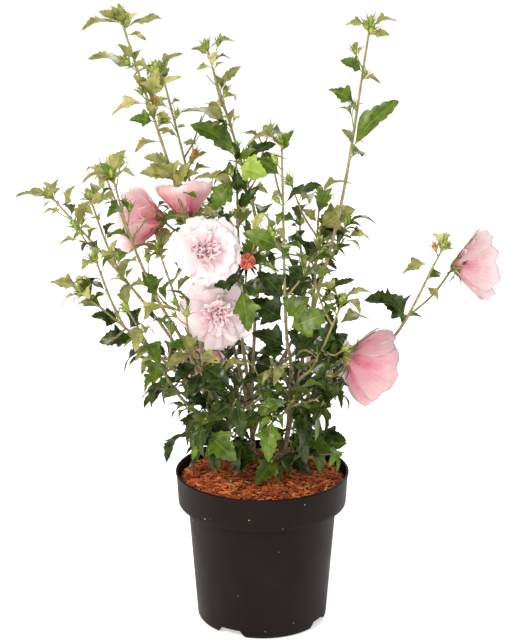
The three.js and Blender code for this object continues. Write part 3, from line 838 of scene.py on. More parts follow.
LOW_SPRAYS = (
    ("low_far_left", "left", 0.16, (-98, -66, 316), 3),
    ("low_front", "left", 0.3, (-34, -92, 336), 4),
    ("low_front_right", "right", 0.36, (38, -96, 336), 4),
    ("low_right", "right", 0.62, (92, -40, 338), 4),
    ("low_back", "centre", 0.2, (-17, 142, 300), 3),
    ("low_back_right", "right", 0.45, (84, 108, 326), 3),
    ("low_back_left", "left", 0.5, (-98, 92, 330), 3),
    ("skirt_front", "right", 0.1, (12, -58, 240), 1),
    ("skirt_left", "left", 0.08, (-64, -40, 248), 1),
    ("skirt_right", "right", 0.16, (76, -4, 258), 1),
)

BLOOMS = (
    Bloom("left_upper", Kind.DOUBLE, "tall_left", 0.72, (-72, -50, 520), (0.08, -1, 0.3), 43),
    Bloom("left_lower", Kind.DOUBLE, "mid_left", 0.8, (-60, -30, 432), (0.12, -1, 0.05), 47),
    Bloom("far_left", Kind.TRUMPET, "tall_left", 0.93, (-125, -10, 549), (-0.9, 0.25, 0.05), 40),
    Bloom("behind", Kind.TRUMPET, "tall_left", 0.9, (-98, 34, 541), (-0.1, 0.2, 1), 36),
    Bloom("low_right", Kind.TRUMPET, "right_bud", 0.9, (103, -82, 390), (0.85, 0.3, -0.4), 48),
    Bloom("back", Kind.DOUBLE, "back_right", 0.8, (94, 152, 314), (0.5, 0.85, 0.15), 40),
    Bloom("back_left", Kind.TRUMPET, "back_left", 0.75, (-70, 165, 292), (-0.4, 1, 0.1), 38),
)
LEADER_BLOOMS = (
    Bloom("far_right", Kind.TRUMPET, "far_right", 0.3, (240, -46, 498), (1, 0.2, 0.0), 43),
    Bloom("red_bud", Kind.BUD, "centre", 0.4, (-21, -8, 494), (0.1, -0.9, 0.35), 11),
)


@dataclass(frozen=True)
class ShownLeaf:
    """A leaf that stands out in the photograph.

    Its foot and tip are where the picture shows them, in pixels from its left and top. Its roll
    goes from 0, face up, to 90, face to the viewer; ahead is how much it points to the viewer. A
    fine twig of length spur carries it out towards the viewer.
    """

    bearer: str
    foot_px: tuple[float, float]
    tip_px: tuple[float, float]
    green: Green
    roll: float
    width: float = 1.0
    ahead: float = 0.2
    spur: float = 0


@dataclass(frozen=True)
class ShownBud:
    """A small bud that stands out in the photograph, on a short stalk."""

    bearer: str
    at: float
    bearing: float
    size: float
    stalk: float = 6
    orange: bool = False


@dataclass(frozen=True)
class Opening:
    """Open sky or a free view, as an ellipse in the picture, kept clear in front of a depth.

    Its middle and half axes are in pixels, read off the photograph.
    """

    column_px: float
    row_px: float
    wide_px: float
    tall_px: float
    behind: float = 1000


OLIVE, MID, DEEP, YOUNG, LIME = Green.OLIVE, Green.MID, Green.DEEP, Green.YOUNG, Green.LIME

# By bough: share of its bare length, and the angle about it at which a pruned stub stands
STUBS = {"far_right": (0.62, 3.6), "right_tall": (0.3, 1.2), "low_left": (0.45, 2.2),
         "back_right": (0.4, 4.4)}

# By bearer: column and row of the foot and of the tip, then the other values of a ShownLeaf
SHOWN_LEAVES: dict[str, tuple[tuple[Any, ...], ...]] = {
    "tall_left": (
        (121, 24, 81, 26, OLIVE, 20), (119, 20, 99, 11, OLIVE, 60), (129, 29, 161, 17, OLIVE, 25),
        (138, 74, 89, 56, OLIVE, 30), (150, 97, 135, 75, OLIVE, 60, 1.2),
        (152, 98, 157, 68, OLIVE, 70, 1.3), (153, 99, 178, 74, YOUNG, 50), (148, 106, 111, 114, YOUNG, 20),
        (150, 127, 130, 119, MID, 70), (155, 141, 134, 149, OLIVE, 30),
        (168, 176, 145, 156, OLIVE, 55, 1.2), (169, 180, 141, 171, OLIVE, 60, 1.1),
        (171, 181, 178, 160, OLIVE, 60), (124, 24, 119, 4, OLIVE, 60), (125, 27, 136, 12, YOUNG, 50),
        (152, 107, 144, 85, OLIVE, 50), (150, 115, 170, 119, OLIVE, 40), (150, 124, 146, 101, OLIVE, 60),
        (154, 132, 172, 122, OLIVE, 40), (172, 184, 198, 172, OLIVE, 50),
        (173, 188, 152, 163, OLIVE, 60, 1.1), (174, 191, 187, 164, OLIVE, 60, 1.1),
        (174, 191, 197, 197, MID, 50), (125, 28, 113, 6, OLIVE, 60), (128, 34, 146, 38, OLIVE, 30),
        (131, 62, 118, 44, OLIVE, 60), (152, 108, 168, 98, OLIVE, 50), (155, 124, 171, 118, OLIVE, 50),
        (158, 138, 172, 131, OLIVE, 40),
    ),
    "tall_left_back": (
        (168, 107, 179, 100, OLIVE, 40), (172, 130, 185, 126, OLIVE, 40), (184, 172, 205, 151, OLIVE, 40),
        (186, 176, 208, 165, OLIVE, 30), (189, 185, 214, 176, YOUNG, 20), (188, 195, 198, 183, DEEP, 60),
        (175, 140, 157, 130, OLIVE, 40), (177, 146, 196, 143, OLIVE, 40),
    ),
    "centre_tall": (
        (211, 55, 192, 48, OLIVE, 50), (212, 50, 234, 39, OLIVE, 20), (215, 66, 197, 68, OLIVE, 40),
        (225, 92, 216, 75, OLIVE, 50), (226, 92, 240, 66, OLIVE, 50), (233, 132, 184, 108, OLIVE, 20, 0.9),
        (238, 158, 192, 123, MID, 60, 0.9), (244, 165, 274, 142, DEEP, 50),
    ),
    "centre": (
        (238, 176, 212, 210, MID, 80, 1.2), (240, 176, 247, 193, DEEP, 60),
        (236, 166, 266, 174, LIME, 75, 1.9, 0.3, 70), (241, 282, 249, 332, MID, 70, 0.85, 0.3, 74),
        (241, 279, 214, 286, DEEP, 70, 1.4, 0.2, 74), (241, 282, 222, 274, DEEP, 70, 1.4, 0.2, 74),
        (241, 282, 266, 292, DEEP, 70, 1.3, 0.2, 74), (241, 282, 256, 297, MID, 70, 1.2, 0.2, 60),
        (240, 196, 236, 168, DEEP, 60), (241, 215, 256, 186, DEEP, 60), (241, 262, 261, 240, MID, 60),
        (237, 165, 233, 142, DEEP, 50), (237, 165, 256, 149, MID, 50), (240, 191, 218, 199, DEEP, 40),
    ),
    "right_bud": (
        (318, 352, 347, 334, DEEP, 75, 1.4), (320, 345, 336, 318, DEEP, 70, 1.2),
        (310, 350, 330, 338, DEEP, 60, 1.2), (323, 301, 353, 278, DEEP, 30),
        (322, 350, 350, 352, DEEP, 70, 1.3),
    ),
    "low_right": (
        (325, 365, 345, 352, DEEP, 60, 1.2),
    ),
    "right_mid": (
        (308, 300, 290, 270, DEEP, 70, 1.3), (318, 262, 300, 240, DEEP, 60, 1.2),
        (322, 231, 354, 208, OLIVE, 60, 1.2), (318, 215, 331, 188, MID, 60, 1.2),
        (319, 225, 303, 209, OLIVE, 60), (305, 287, 277, 275, DEEP, 70, 1.2), (333, 265, 349, 243, MID, 40),
    ),
    "front_tall": (
        (284, 262, 304, 281, DEEP, 60, 1.3), (285, 300, 260, 272, DEEP, 70, 1.3),
        (287, 318, 307, 297, MID, 70, 1.5), (282, 152, 293, 130, MID, 60), (282, 154, 274, 138, OLIVE, 40),
        (283, 176, 255, 157, MID, 60), (284, 207, 321, 184, DEEP, 30), (284, 209, 277, 225, MID, 60),
        (285, 237, 305, 243, DEEP, 40), (284, 250, 244, 232, MID, 75, 1.1),
        (286, 324, 250, 300, DEEP, 70, 1.2), (287, 330, 329, 312, MID, 80, 1.4, 0.5, 20),
        (287, 347, 254, 332, DEEP, 70, 1.3), (286, 352, 259, 352, DEEP, 60, 1.2),
    ),
    "right_tall": (
        (370, 31, 396, 19, OLIVE, 30), (370, 31, 346, 23, OLIVE, 30), (369, 38, 389, 34, OLIVE, 50),
        (364, 75, 341, 60, MID, 70, 1.3), (364, 78, 380, 81, OLIVE, 40), (359, 110, 329, 89, MID, 50),
        (356, 145, 343, 129, OLIVE, 60), (356, 150, 397, 100, MID, 60, 0.6),
    ),
    "far_right": (
        (441, 266, 402, 273, OLIVE, 20), (423, 287, 439, 299, OLIVE, 40),
        (404, 314, 365, 299, DEEP, 35, 1.2), (404, 320, 385, 294, DEEP, 70, 1.4),
    ),
    "low_left": (
        (84, 297, 50, 281, OLIVE, 30), (126, 322, 92, 315, DEEP, 50, 1.1),
        (131, 345, 99, 341, DEEP, 60, 1.2), (128, 334, 140, 308, DEEP, 60, 1.1),
    ),
    "far_left": (
        (54, 200, 15, 196, OLIVE, 20), (65, 214, 74, 185, OLIVE, 50),
    ),
    "upper_left": (
        (160, 300, 143, 272, MID, 60, 1.1),
    ),
    "mid_left": (
        (198, 352, 167, 367, OLIVE, 40, 1.1, 0.4, 30), (199, 356, 219, 361, OLIVE, 50, 1.2, 0.4, 30),
        (198, 350, 181, 336, OLIVE, 60, 1.2, 0.4, 24), (199, 362, 175, 381, DEEP, 60, 1.3, 0.4, 30),
        (200, 366, 229, 385, DEEP, 60, 1.4, 0.5, 40), (198, 345, 169, 345, MID, 50, 1.2, 0.3, 20),
        (200, 370, 192, 396, DEEP, 60, 1.3, 0.5, 30),
    ),
    "skirt_front": (
        (283, 440, 256, 484, MID, 75, 1.2, 0.6),
    ),
    "skirt_right": (
        (296, 446, 346, 443, MID, 75, 1.2, 0.4), (318, 438, 346, 440, DEEP, 60, 1.1, 0.3),
        (285, 452, 309, 472, DEEP, 80, 1.4, 0.6),
    ),
    "skirt_left": (
        (205, 440, 232, 422, DEEP, 75, 1.3, 0.5),
    ),
    "low_far_left": (
        (206, 430, 236, 460, MID, 80, 1.3, 0.6),
    ),
    "stem_right": (
        (288, 320, 324, 327, DEEP, 50),
    ),
    "low_front": (
        (235, 400, 208, 420, DEEP, 70, 1.1, 0.6),
    ),
    "low_front_right": (
        (268, 372, 241, 382, DEEP, 70, 1.1, 0.5),
    ),
}
# By bearer, each as a ShownBud: share of the bearer's length, bearing, size, stalk and colour
SHOWN_BUDS: dict[str, tuple[tuple[Any, ...], ...]] = {
    "tall_left": ((0.77, 60, 12, 8, True), (0.87, 140, 15, 14), (0.72, 60, 15), (0.79, 130, 12, 12),
                  (0.99, 115, 19, 3), (0.98, 70, 18, 5)),
    "tall_left_back": ((0.72, 50, 16, 14, True), (0.85, 70, 14)),
    "centre": ((0.84, 60, 13, 6, True),),
    "mid_left": ((0.98, 90, 9, 5, True),),
    "far_right": ((0.97, 115, 14, 8, True),),
    "front_tall": ((0.9, 130, 16, 10), (0.75, 140, 13)),
    "right_tall": ((0.88, 60, 11), (0.81, 120, 11), (0.99, 120, 15, 4), (0.98, 60, 15, 5)),
    "centre_tall": ((0.87, 60, 13),),
    "right_mid": ((0.8, 70, 13),),
    "upper_left": ((0.85, 60, 13, 8),),
    "far_left": ((0.85, 80, 12, 8),),
    "low_left": ((0.8, 100, 11, 8),),
}
OPENINGS = [Opening(*row) for row in (
    (260, 122, 23, 11), (289, 120, 11, 9), (296, 160, 12, 17), (270, 181, 15, 13), (305, 181, 15, 9),
    (297, 262, 10, 18), (348, 262, 13, 12), (265, 302, 14, 5), (342, 336, 15, 15, -10),
    (163, 416, 13, 10), (181, 430, 9, 15), (163, 443, 10, 13), (352, 415, 9, 16), (357, 462, 7, 21),
    (83, 345, 13, 14), (247, 236, 8, 6), (203, 98, 15, 11), (188, 116, 8, 8), (70, 232, 9, 9),
    (52, 181, 13, 6), (77, 193, 8, 6), (155, 272, 10, 10), (165, 300, 9, 8), (107, 290, 8, 9),
    (140, 318, 10, 8), (155, 340, 8, 8), (310, 225, 7, 20), (355, 200, 12, 6), (442, 232, 9, 7),
    (214, 32, 9, 9), (100, 262, 10, 15), (125, 320, 8, 8),
)]
# Kept clear in front of a bloom, a bare stem or the sky beside the crown's foot
WINDOWS = [Opening(*row) for row in (
    (143, 213, 19, 28, 20), (203, 249, 36, 36, -30), (218, 315, 38, 39, -20), (372, 370, 26, 39, -30),
    (477, 258, 29, 32, -30), (288, 395, 7, 63, 5), (248, 400, 6, 47, 40), (338, 412, 12, 11, 300),
    (355, 468, 12, 18, 300), (160, 470, 11, 18, 300),
)]
# These stand inside the crown, in the others' shade, and are dealt deeper greens as painted shade
SHADY_MASSES = {"centre", "front_tall", "right_mid", "back_right", "centre_tall", "right_bud", "back_left"}


@dataclass
class Mass:
    """A mass of foliage: its number, habit and twigs."""

    name: str
    number: int
    leaf: tuple[float, float]
    step: float
    reach: float
    sprigs: int
    forks: tuple[tuple[float, tuple[float, float, float]], ...]
    low: bool
    twigs: list[Twig] = field(default_factory=list)


@dataclass
class GrowingRule:
    """The part's rule: stems, boughs to the knee, leaders, forks and sprigs, then leaves."""

    ground: float = 200
    buried: float = 12
    gap: float = 0.3
    root_depth: float = 4
    knee_radius: float = 1.7
    leader_tip: float = 1.0
    twig_radius: float = 1.2
    twig_tip: float = 0.8
    fork_radius: float = 1.5
    cane_reach: float = 62
    low_reach: float = 66
    low_leaf: tuple[float, float] = (50, 44)
    low_step: float = 25
    stems: dict[str, Path] = field(default_factory=dict)
    boughs: dict[str, tuple[Path, float]] = field(default_factory=dict)
    masses: list[Mass] = field(default_factory=list)

    def grow(self) -> None:
        """Works out every limb and twig."""
        for name, (foot, bend, fork) in STEMS.items():
            feet = [(*foot, self.ground - self.buried), (*foot, self.ground + self.buried)]
            self.stems[name] = Path([*feet, bend, fork])
        for cane in CANES:
            path = self._cane_path(cane)
            knee = float(path.marks[round(Path.SAMPLES * 2 / 3)])
            self.boughs[cane.name] = (path, knee)
            number = len(self.masses)
            mass = Mass(cane.name, number, cane.leaf, cane.step, self.cane_reach, cane.sprigs,
                        cane.forks, False)
            self._fill(mass, path, knee + self.gap)
        for name, stem, at, tip, sprigs in LOW_SPRAYS:
            start = self._stem_point(stem, at)
            mass = Mass(name, len(self.masses), self.low_leaf, self.low_step, self.low_reach, sprigs,
                        (), True)
            self._fill(mass, bowed(start, tip, 0.5, 0.1), 0)

    def _stem_point(self, stem: str, at: float) -> Array:
        """The point at a share of a stem's height above the ground."""
        path = self.stems[stem]
        return path.frames(min(blend(self.buried, path.length, at), path.length - self.root_depth)).point

    def _cane_path(self, cane: Cane) -> Path:
        """A cane's path: from inside its stem past a raised bend and the knee to the tip.

        Args:
            cane: The cane.

        Returns:
            Its whole path.
        """
        start, knee = self._stem_point(cane.stem, cane.at), np.array(cane.knee, float)
        bend = blend(start, knee, 0.45) + 0.07 * np.linalg.norm(knee - start) * UP
        return Path([start, bend, knee, cane.tip])

    def _fill(self, mass: Mass, path: Path, start: float) -> None:
        """Gives a mass its leader, forks and sprigs, and adds it to the list.

        Args:
            mass: The mass, still without twigs.
            path: The path that its leader follows.
            start: Where on the path the leader begins.
        """
        leader = Twig(0, path, start, path.length, self.knee_radius, self.leader_tip)
        mass.twigs.append(leader)
        for number, (share, tip) in enumerate(mass.forks, 1):
            fork = bowed(path.frames(blend(start, path.length, share)).point, tip, 0.5, -0.06)
            mass.twigs.append(Twig(number, fork, 0, fork.length, self.fork_radius, self.leader_tip))
        for t in range(mass.sprigs):
            share = 0.1 + 0.75 * (t + 0.5) / mass.sprigs
            length = mass.reach * (0.75 + 0.5 * dice(mass.number, t, 7))
            frames = path.frames(blend(start, path.length, share))
            turn = GOLDEN_TURN * t + TURN * dice(mass.number, 5)
            out = frames.lean_out(turn, 0.75 + 0.4 * dice(mass.number, t, 6))
            middle = frames.point + out * 0.5 * length
            end = middle + out * 0.42 * length + 0.22 * length * UP
            sprig = Path([frames.point, middle, end])
            number = 1 + len(mass.forks) + t
            mass.twigs.append(Twig(number, sprig, 0, sprig.length, self.twig_radius, self.twig_tip))
        self.masses.append(mass)


# Wood


@dataclass
class Wood:
    """Stems, boughs and twigs with the relief of their bark."""

    rule: GrowingRule
    flare_height: float = 16
    stem_foot: float = 5.6
    stem_radius: float = 3.4
    stem_tip: float = 2.9
    bough_radius: float = 2.5
    bare_tip: float = 2.1
    shoot_girth: float = 1.25
    stub_length: float = 9
    ring_step: float = 3.5
    stem_sides: int = 14
    bough_sides: int = 10
    bough_joint: float = 38
    stem_rough: float = 0.09
    bough_rough: float = 0.08
    shoot_rough: float = 0.06
    ridge_length: float = 9
    knot_swell: float = 0.22
    knot_reach: float = 2.2

    def limb(self, path: Path, start: float, end: float, radius: Array, sides: int, seed: int,
             rough: float, joint: float = 0) -> Shape:
        """A tube along a path with ridges, knots at its joints and rounded ends.

        The radius at each ring is scaled by one plus noise drawn out along the limb, plus a
        bell-shaped swelling at every joint.

        Args:
            path: The limb's path.
            start: Distance along the path where it begins.
            end: Distance where it ends.
            radius: Foot and tip radius, or one radius for each ring.
            sides: Columns round the limb.
            seed: Seed of the bark noise.
            rough: Depth of the relief as a share of the radius.
            joint: Distance between the joints, or 0 for none.

        Returns:
            The closed tube.
        """
        rings = len(radius) if len(radius) > 2 else max(4, round((end - start) / self.ring_step))
        walked = np.linspace(start, end, rings)
        girth = radius if len(radius) > 2 else blend(radius[0], radius[1], np.linspace(0, 1, rings))
        frames = path.frames(walked)
        around = np.arange(sides) / sides
        u, v = np.meshgrid(around, (walked - start) / self.ridge_length)
        swell = 1 + rough * lattice_noise(u, v, seed, max(3, sides // 2))
        if joint:
            off = np.abs((walked - start + joint / 2) % joint - joint / 2)
            swell = swell + (self.knot_swell * np.exp(-((off / self.knot_reach) ** 2)))[:, None]
        reach = (girth[:, None] * swell)[..., None]
        angle = (TURN * around)[None, :, None]
        ring = frames.across[:, None] * np.cos(angle) + frames.over[:, None] * np.sin(angle)
        return grid_shape(frames.point[:, None] + ring * reach, closed=True, capped=True)

    def stem(self, path: Path, seed: int) -> Shape:
        """A stem that flares to its foot on the mulch and tapers to its fork.

        The flare falls with the square of the height, and is never thicker than an even taper.

        Args:
            path: The stem's path.
            seed: Seed of its bark.

        Returns:
            The stem.
        """
        rings = round(path.length / 2.5)
        walked = np.linspace(0, path.length, rings)
        flare = np.clip(1 - (walked - self.rule.buried) / self.flare_height, 0, 1)
        flared = self.stem_radius + (self.stem_foot - self.stem_radius) * flare**2
        even = blend(self.stem_foot, self.stem_tip, walked / path.length)
        girth = np.minimum(flared, even)
        return self.limb(path, 6, path.length + 0.5, girth, self.stem_sides, seed, self.stem_rough)

    def stub(self, path: Path, walked: float, turn: float) -> Shape:
        """A short pruned stub that leans out from a limb.

        Args:
            path: The limb's path.
            walked: Distance along it.
            turn: Angle about it.

        Returns:
            The stub.
        """
        frames = path.frames(walked)
        stub = bowed(frames.point, frames.point + frames.lean_out(turn, 0.9) * self.stub_length, 0.5, 0)
        return self.limb(stub, 0, stub.length, np.array([1.9, 1.7, 1.7, 1.8, 1.2]), 8, 5, 0.05)

    def build(self) -> None:
        """Makes the stems, the boughs, the green wood and the pruned stubs."""
        rule = self.rule
        stems = [self.stem(path, 11 + n) for n, path in enumerate(rule.stems.values())]
        girth = np.array([self.bough_radius, self.bare_tip])
        boughs = [self.limb(path, 0, knee + 2, girth, self.bough_sides, 31 + n, self.bough_rough,
                            self.bough_joint) for n, (path, knee) in enumerate(rule.boughs.values())]
        bark = BarkFinish("bark_of_old_stems", 0xA2946E, 0x6E6446, 0xDCCDAC, 0.85).make()
        place(make_object("stems", Shape.joined(stems), bark), [f"stem_{n}" for n in STEMS])
        young = BarkFinish("bark_of_young_canes", 0xAEA07C, 0x807252, 0xD8C9AA, 0.7).make()
        place(make_object("boughs", Shape.joined(boughs), young), [f"bough_{c.name}" for c in CANES])
        twigs = []
        for mass in rule.masses:
            for twig in mass.twigs:
                sides = 8 if twig.number == 0 else 6
                girth = self.shoot_girth * np.array([twig.foot, twig.tip])
                twigs.append(self.limb(twig.path, twig.start, twig.end, girth, sides,
                                       97 + mass.number, self.shoot_rough, mass.step))
        green = BarkFinish("bark_of_green_shoots", 0xA09764, 0x7A7046, 0xC8BC90, 0.6).make()
        place(make_object("shoots", Shape.joined(twigs), green))
        stubs = [self.stub(rule.stems["right"], rule.stems["right"].length - 6, 5.4)]
        for bough, (share, turn) in STUBS.items():
            path, knee = rule.boughs[bough]
            stubs.append(self.stub(path, knee * share, turn))
        dark = BarkFinish("bark_of_pruned_stubs", 0x4A3C2E, 0x2E241B, 0x6B5A46, 0.8).make()
        place(make_object("pruned_stubs", Shape.joined(stubs), dark))


# Foliage


@dataclass
class Foliage:
    """Leaves, bracts and small buds on every twig of the growing rule."""

    rule: GrowingRule
    lean: float = 1.0
    tip_lean: float = 1.0
    sag: float = 0.1
    low_sag: float = 0.35
    roll: float = 1.1
    lean_spread: float = 0.5
    petiole: float = 0.14
    half_width: float = 0.3
    thickness: float = 0.35
    shown_room_px: float = 13.5
    shown_ahead: float = 60
    bare_share: float = 0.45
    grown: float = 1.13
    shown_deep: float = 70
    limb_room: float = 0.8
    mix_top: float = 204
    mix_reach: float = 117
    rim_top: float = 213
    rim_band: tuple[float, float] = (104, 122)
    lowest: float = 150
    bud_height: float = 380
    shade_height: float = 335
    shade_fade: float = 290
    stem_girth: float = 3.6
    shown_middle: float = 0.6
    leaves: list[Leaf] = field(default_factory=list)
    spurs: list[Twig] = field(default_factory=list)
    buds: list[SmallBud] = field(default_factory=list)

    # Shown leaves are numbered from here
    SHOWN = 900

    # Half outlines of a blade as place along the midrib and half width, in shares of its length:
    # three-lobed, rhombic and narrow, all on a long wedge and with rounded teeth past the middle
    OUTLINES = np.array([
        [(0, 0), (0.1, 0.045), (0.2, 0.115), (0.3, 0.19), (0.36, 0.2), (0.44, 0.27), (0.52, 0.3),
         (0.545, 0.17), (0.6, 0.165), (0.66, 0.185), (0.71, 0.14), (0.77, 0.15), (0.82, 0.1),
         (0.89, 0.09), (0.94, 0.05), (1, 0)],
        [(0, 0), (0.12, 0.045), (0.24, 0.12), (0.33, 0.185), (0.38, 0.18), (0.46, 0.245), (0.55, 0.26),
         (0.58, 0.165), (0.64, 0.175), (0.7, 0.185), (0.735, 0.125), (0.8, 0.13), (0.835, 0.085),
         (0.9, 0.08), (0.955, 0.04), (1, 0)],
        [(0, 0), (0.14, 0.045), (0.28, 0.095), (0.4, 0.14), (0.5, 0.17), (0.56, 0.165), (0.59, 0.13),
         (0.66, 0.145), (0.72, 0.13), (0.745, 0.1), (0.81, 0.105), (0.865, 0.08), (0.885, 0.06),
         (0.94, 0.05), (0.98, 0.028), (1, 0)],
    ])

    def leaf_at(self, joint: Joint, lean: float, slim: float = 1.0) -> Leaf:
        """One leaf by the part's rule.

        It leans out from the twig, about a golden turn further round than the joint before, sags a
        little, and rolls about its own line.

        Args:
            joint: Where it grows.
            lean: How far it leans from the twig, in radians.
            slim: Its width as a share of the usual.

        Returns:
            The leaf, rooted on the twig's axis.
        """
        keys = joint.keys
        frames = joint.twig.path.frames(joint.walked)
        turn = GOLDEN_TURN * keys[2] + TURN * dice(keys[0], keys[1], 3)
        along = frames.lean_out(turn, lean + self.lean_spread * (dice(*keys, 2) - 0.5))
        along = unit(along - (self.low_sag if self.rule.masses[keys[0]].low else self.sag) * UP)
        level = unit((along[1], -along[0], 0))
        angle = self.roll * (dice(*keys, 4) - 0.5)
        side = level * math.cos(angle) + np.cross(along, level) * math.sin(angle)
        length = joint.length * (0.8 + 0.4 * dice(*keys, 1))
        return Leaf(frames.point, along, side, length, joint.green, keys, slim)

    def colour_of(self, height: float, keys: tuple[int, ...], at_tip: bool) -> Green:
        """Deals a spray its green: deep near the ground, olive and young higher up and at tips, and deeper
        in the masses inside the crown as painted shade.

        Args:
            height: How high it grows, in millimetres.
            keys: Its numbers, the mass first.
            at_tip: True at the tip of a twig.

        Returns:
            The colour.
        """
        draw = dice(*keys, 21)
        up = min(1.0, max(0.0, (height - self.shade_height) / self.shade_fade)) + (0.2 if at_tip else 0.0)
        # Painted shade: the masses inside the crown are dealt deeper greens
        if self.rule.masses[keys[0]].name in SHADY_MASSES:
            up -= 0.18
        if draw < 0.72 - 1.3 * up:
            return Green.DEEP
        if draw < 1.0 - 0.85 * up:
            return Green.MID
        return Green.OLIVE if draw < 1.22 - 0.6 * up else Green.YOUNG

    def grow_twig(self, mass: Mass, twig: Twig) -> None:
        """Grows a twig's joints, each with a leaf and its smaller fellows, and its tip rosette.

        Args:
            mass: The mass.
            twig: Its twig.
        """
        walked = twig.start + mass.step * (0.6 if twig.number == 0 else 0.9)
        k = 0
        while walked < twig.end - mass.step / 3:
            share = (walked - twig.start) / (twig.end - twig.start)
            keys = (mass.number, twig.number, k)
            green = self.colour_of(twig.path.frames(walked).point[2], keys, False)
            joint = Joint(twig, keys, walked, self.grown * blend(*mass.leaf, share), green)
            self.leaves.append(self.leaf_at(joint, self.lean))
            self._fellows(mass, joint)
            walked += mass.step
            k += 1
        green = self.colour_of(twig.path.frames(twig.end).point[2], (mass.number, twig.number, 99), True)
        is_sprig = twig.number > len(mass.forks)
        for r in range(2 if is_sprig else 3):
            keys = (mass.number, twig.number, k + r)
            joint = Joint(twig, keys, twig.end - 2.5, self.grown * mass.leaf[1], green)
            self.leaves.append(self.leaf_at(joint, self.tip_lean))
        for r in range(2 if is_sprig else 4):
            keys = (mass.number, twig.number, k + 3 + r)
            joint = Joint(twig, keys, twig.end - 7 + r, mass.leaf[1] * (0.64 - 0.05 * r), green)
            self.leaves.append(self.leaf_at(joint, 0.95 - 0.12 * r, 0.75))
        if not mass.low and (not is_sprig or dice(mass.number, twig.number, 31) < 0.55):
            self._tip_buds(mass, twig)

    def _fellows(self, mass: Mass, joint: Joint) -> None:
        """The smaller leaves of a joint, and at some joints a short spur with a tuft.

        Args:
            mass: The mass.
            joint: The joint.
        """
        number, twig_number, k = joint.keys
        twig = joint.twig
        on_bare_foot = twig_number == 0 and joint.walked < blend(twig.start, twig.end, self.bare_share)
        for n in range(2 if mass.low else 0 if on_bare_foot else 1):
            fellow = replace(joint, keys=(number, twig_number, 200 + 10 * k + n),
                             walked=joint.walked + 1.5 * n - 1, length=joint.length * (0.66 - 0.14 * n))
            self.leaves.append(self.leaf_at(fellow, self.lean - 0.12 * n, 0.85))
        if dice(*joint.keys, 41) < (0.3 if mass.sprigs else 0.2):
            self._spur(joint)

    def _spur(self, joint: Joint) -> None:
        """A finer twig of 14 to 26 mm with three small leaves, and a bud high in the crown.

        Args:
            joint: The joint that it leaves.
        """
        keys = joint.keys
        frames = joint.twig.path.frames(joint.walked)
        out = unit(frames.lean_out(TURN * dice(*keys, 42), 0.75) + 0.25 * UP)
        reach = 14 + 12 * dice(*keys, 43)
        path = Path([frames.point, frames.point + out * reach * 0.5,
                     frames.point + out * reach + 0.1 * reach * UP])
        spur = Twig(300 + keys[1] * 20 + keys[2], path, 0, path.length, 0.9, 0.6)
        self.spurs.append(spur)
        green = self.colour_of(frames.point[2], (*keys, 44), True)
        for n in range(3):
            own = Joint(spur, (keys[0], spur.number, n), spur.end - 1 - 2.5 * n,
                        joint.length * (0.54 + 0.06 * n), green)
            self.leaves.append(self.leaf_at(own, 0.65 + 0.12 * n, 0.8))
        if frames.point[2] > self.bud_height and dice(*keys, 45) < 0.5:
            tip, size = path.frames(spur.end), 10 + 5 * dice(*keys, 46)
            self.buds.append(SmallBud(tip.point, tip.heading, size, keys[0] * 50 + keys[2]))

    def _tip_buds(self, mass: Mass, twig: Twig) -> None:
        """One to three buds that stand on a twig's tip.

        Args:
            mass: The mass.
            twig: Its twig.
        """
        tip = twig.path.frames(twig.end)
        for n in range(1 + round(2 * dice(mass.number, twig.number, 51))):
            lean = 0.0 if n == 0 else 0.5
            heading = tip.lean_out(GOLDEN_TURN * n, lean)
            size = (16 if n == 0 else 12) + 3 * dice(mass.number, twig.number, n, 52)
            self.buds.append(SmallBud(tip.point, heading, size, mass.number * 10 + n))

    def grow(self) -> None:
        """Grows every twig's leaves, drops those in the way of something and adds the shown ones."""
        for mass in self.rule.masses:
            for twig in mass.twigs:
                self.grow_twig(mass, twig)
        grown = len(self.leaves)
        listed = [ShownLeaf(bearer, row[:2], row[2:4], *row[4:])
                  for bearer, rows in SHOWN_LEAVES.items() for row in rows]
        shown = [self.shown_leaf(number, leaf) for number, leaf in enumerate(listed)]
        keep = self._free() & self._gives_way(shown)
        self.leaves = [leaf for leaf, kept in zip(self.leaves, keep) if kept]
        self.leaves += shown
        buds = [ShownBud(bearer, *row) for bearer, rows in SHOWN_BUDS.items() for row in rows]
        for number, bud in enumerate(buds):
            self._shown_bud(number, bud)
        LOG.info("leaves: %d grown, %d kept; buds: %d", grown, len(self.leaves), len(self.buds))

    def _rooted(self, leaf: ShownLeaf) -> Array:
        """The point of a shown leaf's bearer, or of its twigs, that the picture shows nearest its foot.

        Args:
            leaf: The shown leaf.

        Returns:
            Its root.
        """
        stem = leaf.bearer.removeprefix("stem_")
        if stem != leaf.bearer:
            paths = [self.rule.stems[stem]]
        else:
            own = next(m for m in self.rule.masses if m.name == leaf.bearer)
            limb = self.rule.boughs.get(leaf.bearer, (own.twigs[0].path,))[0]
            paths = [limb, *(twig.path for twig in own.twigs[1:])]
        shares = np.linspace(0.02, 1, 60)
        points = np.concatenate([path.frames(shares * path.length).point for path in paths])
        return points[np.linalg.norm(VIEW.pixels(points) - leaf.foot_px, axis=-1).argmin()]

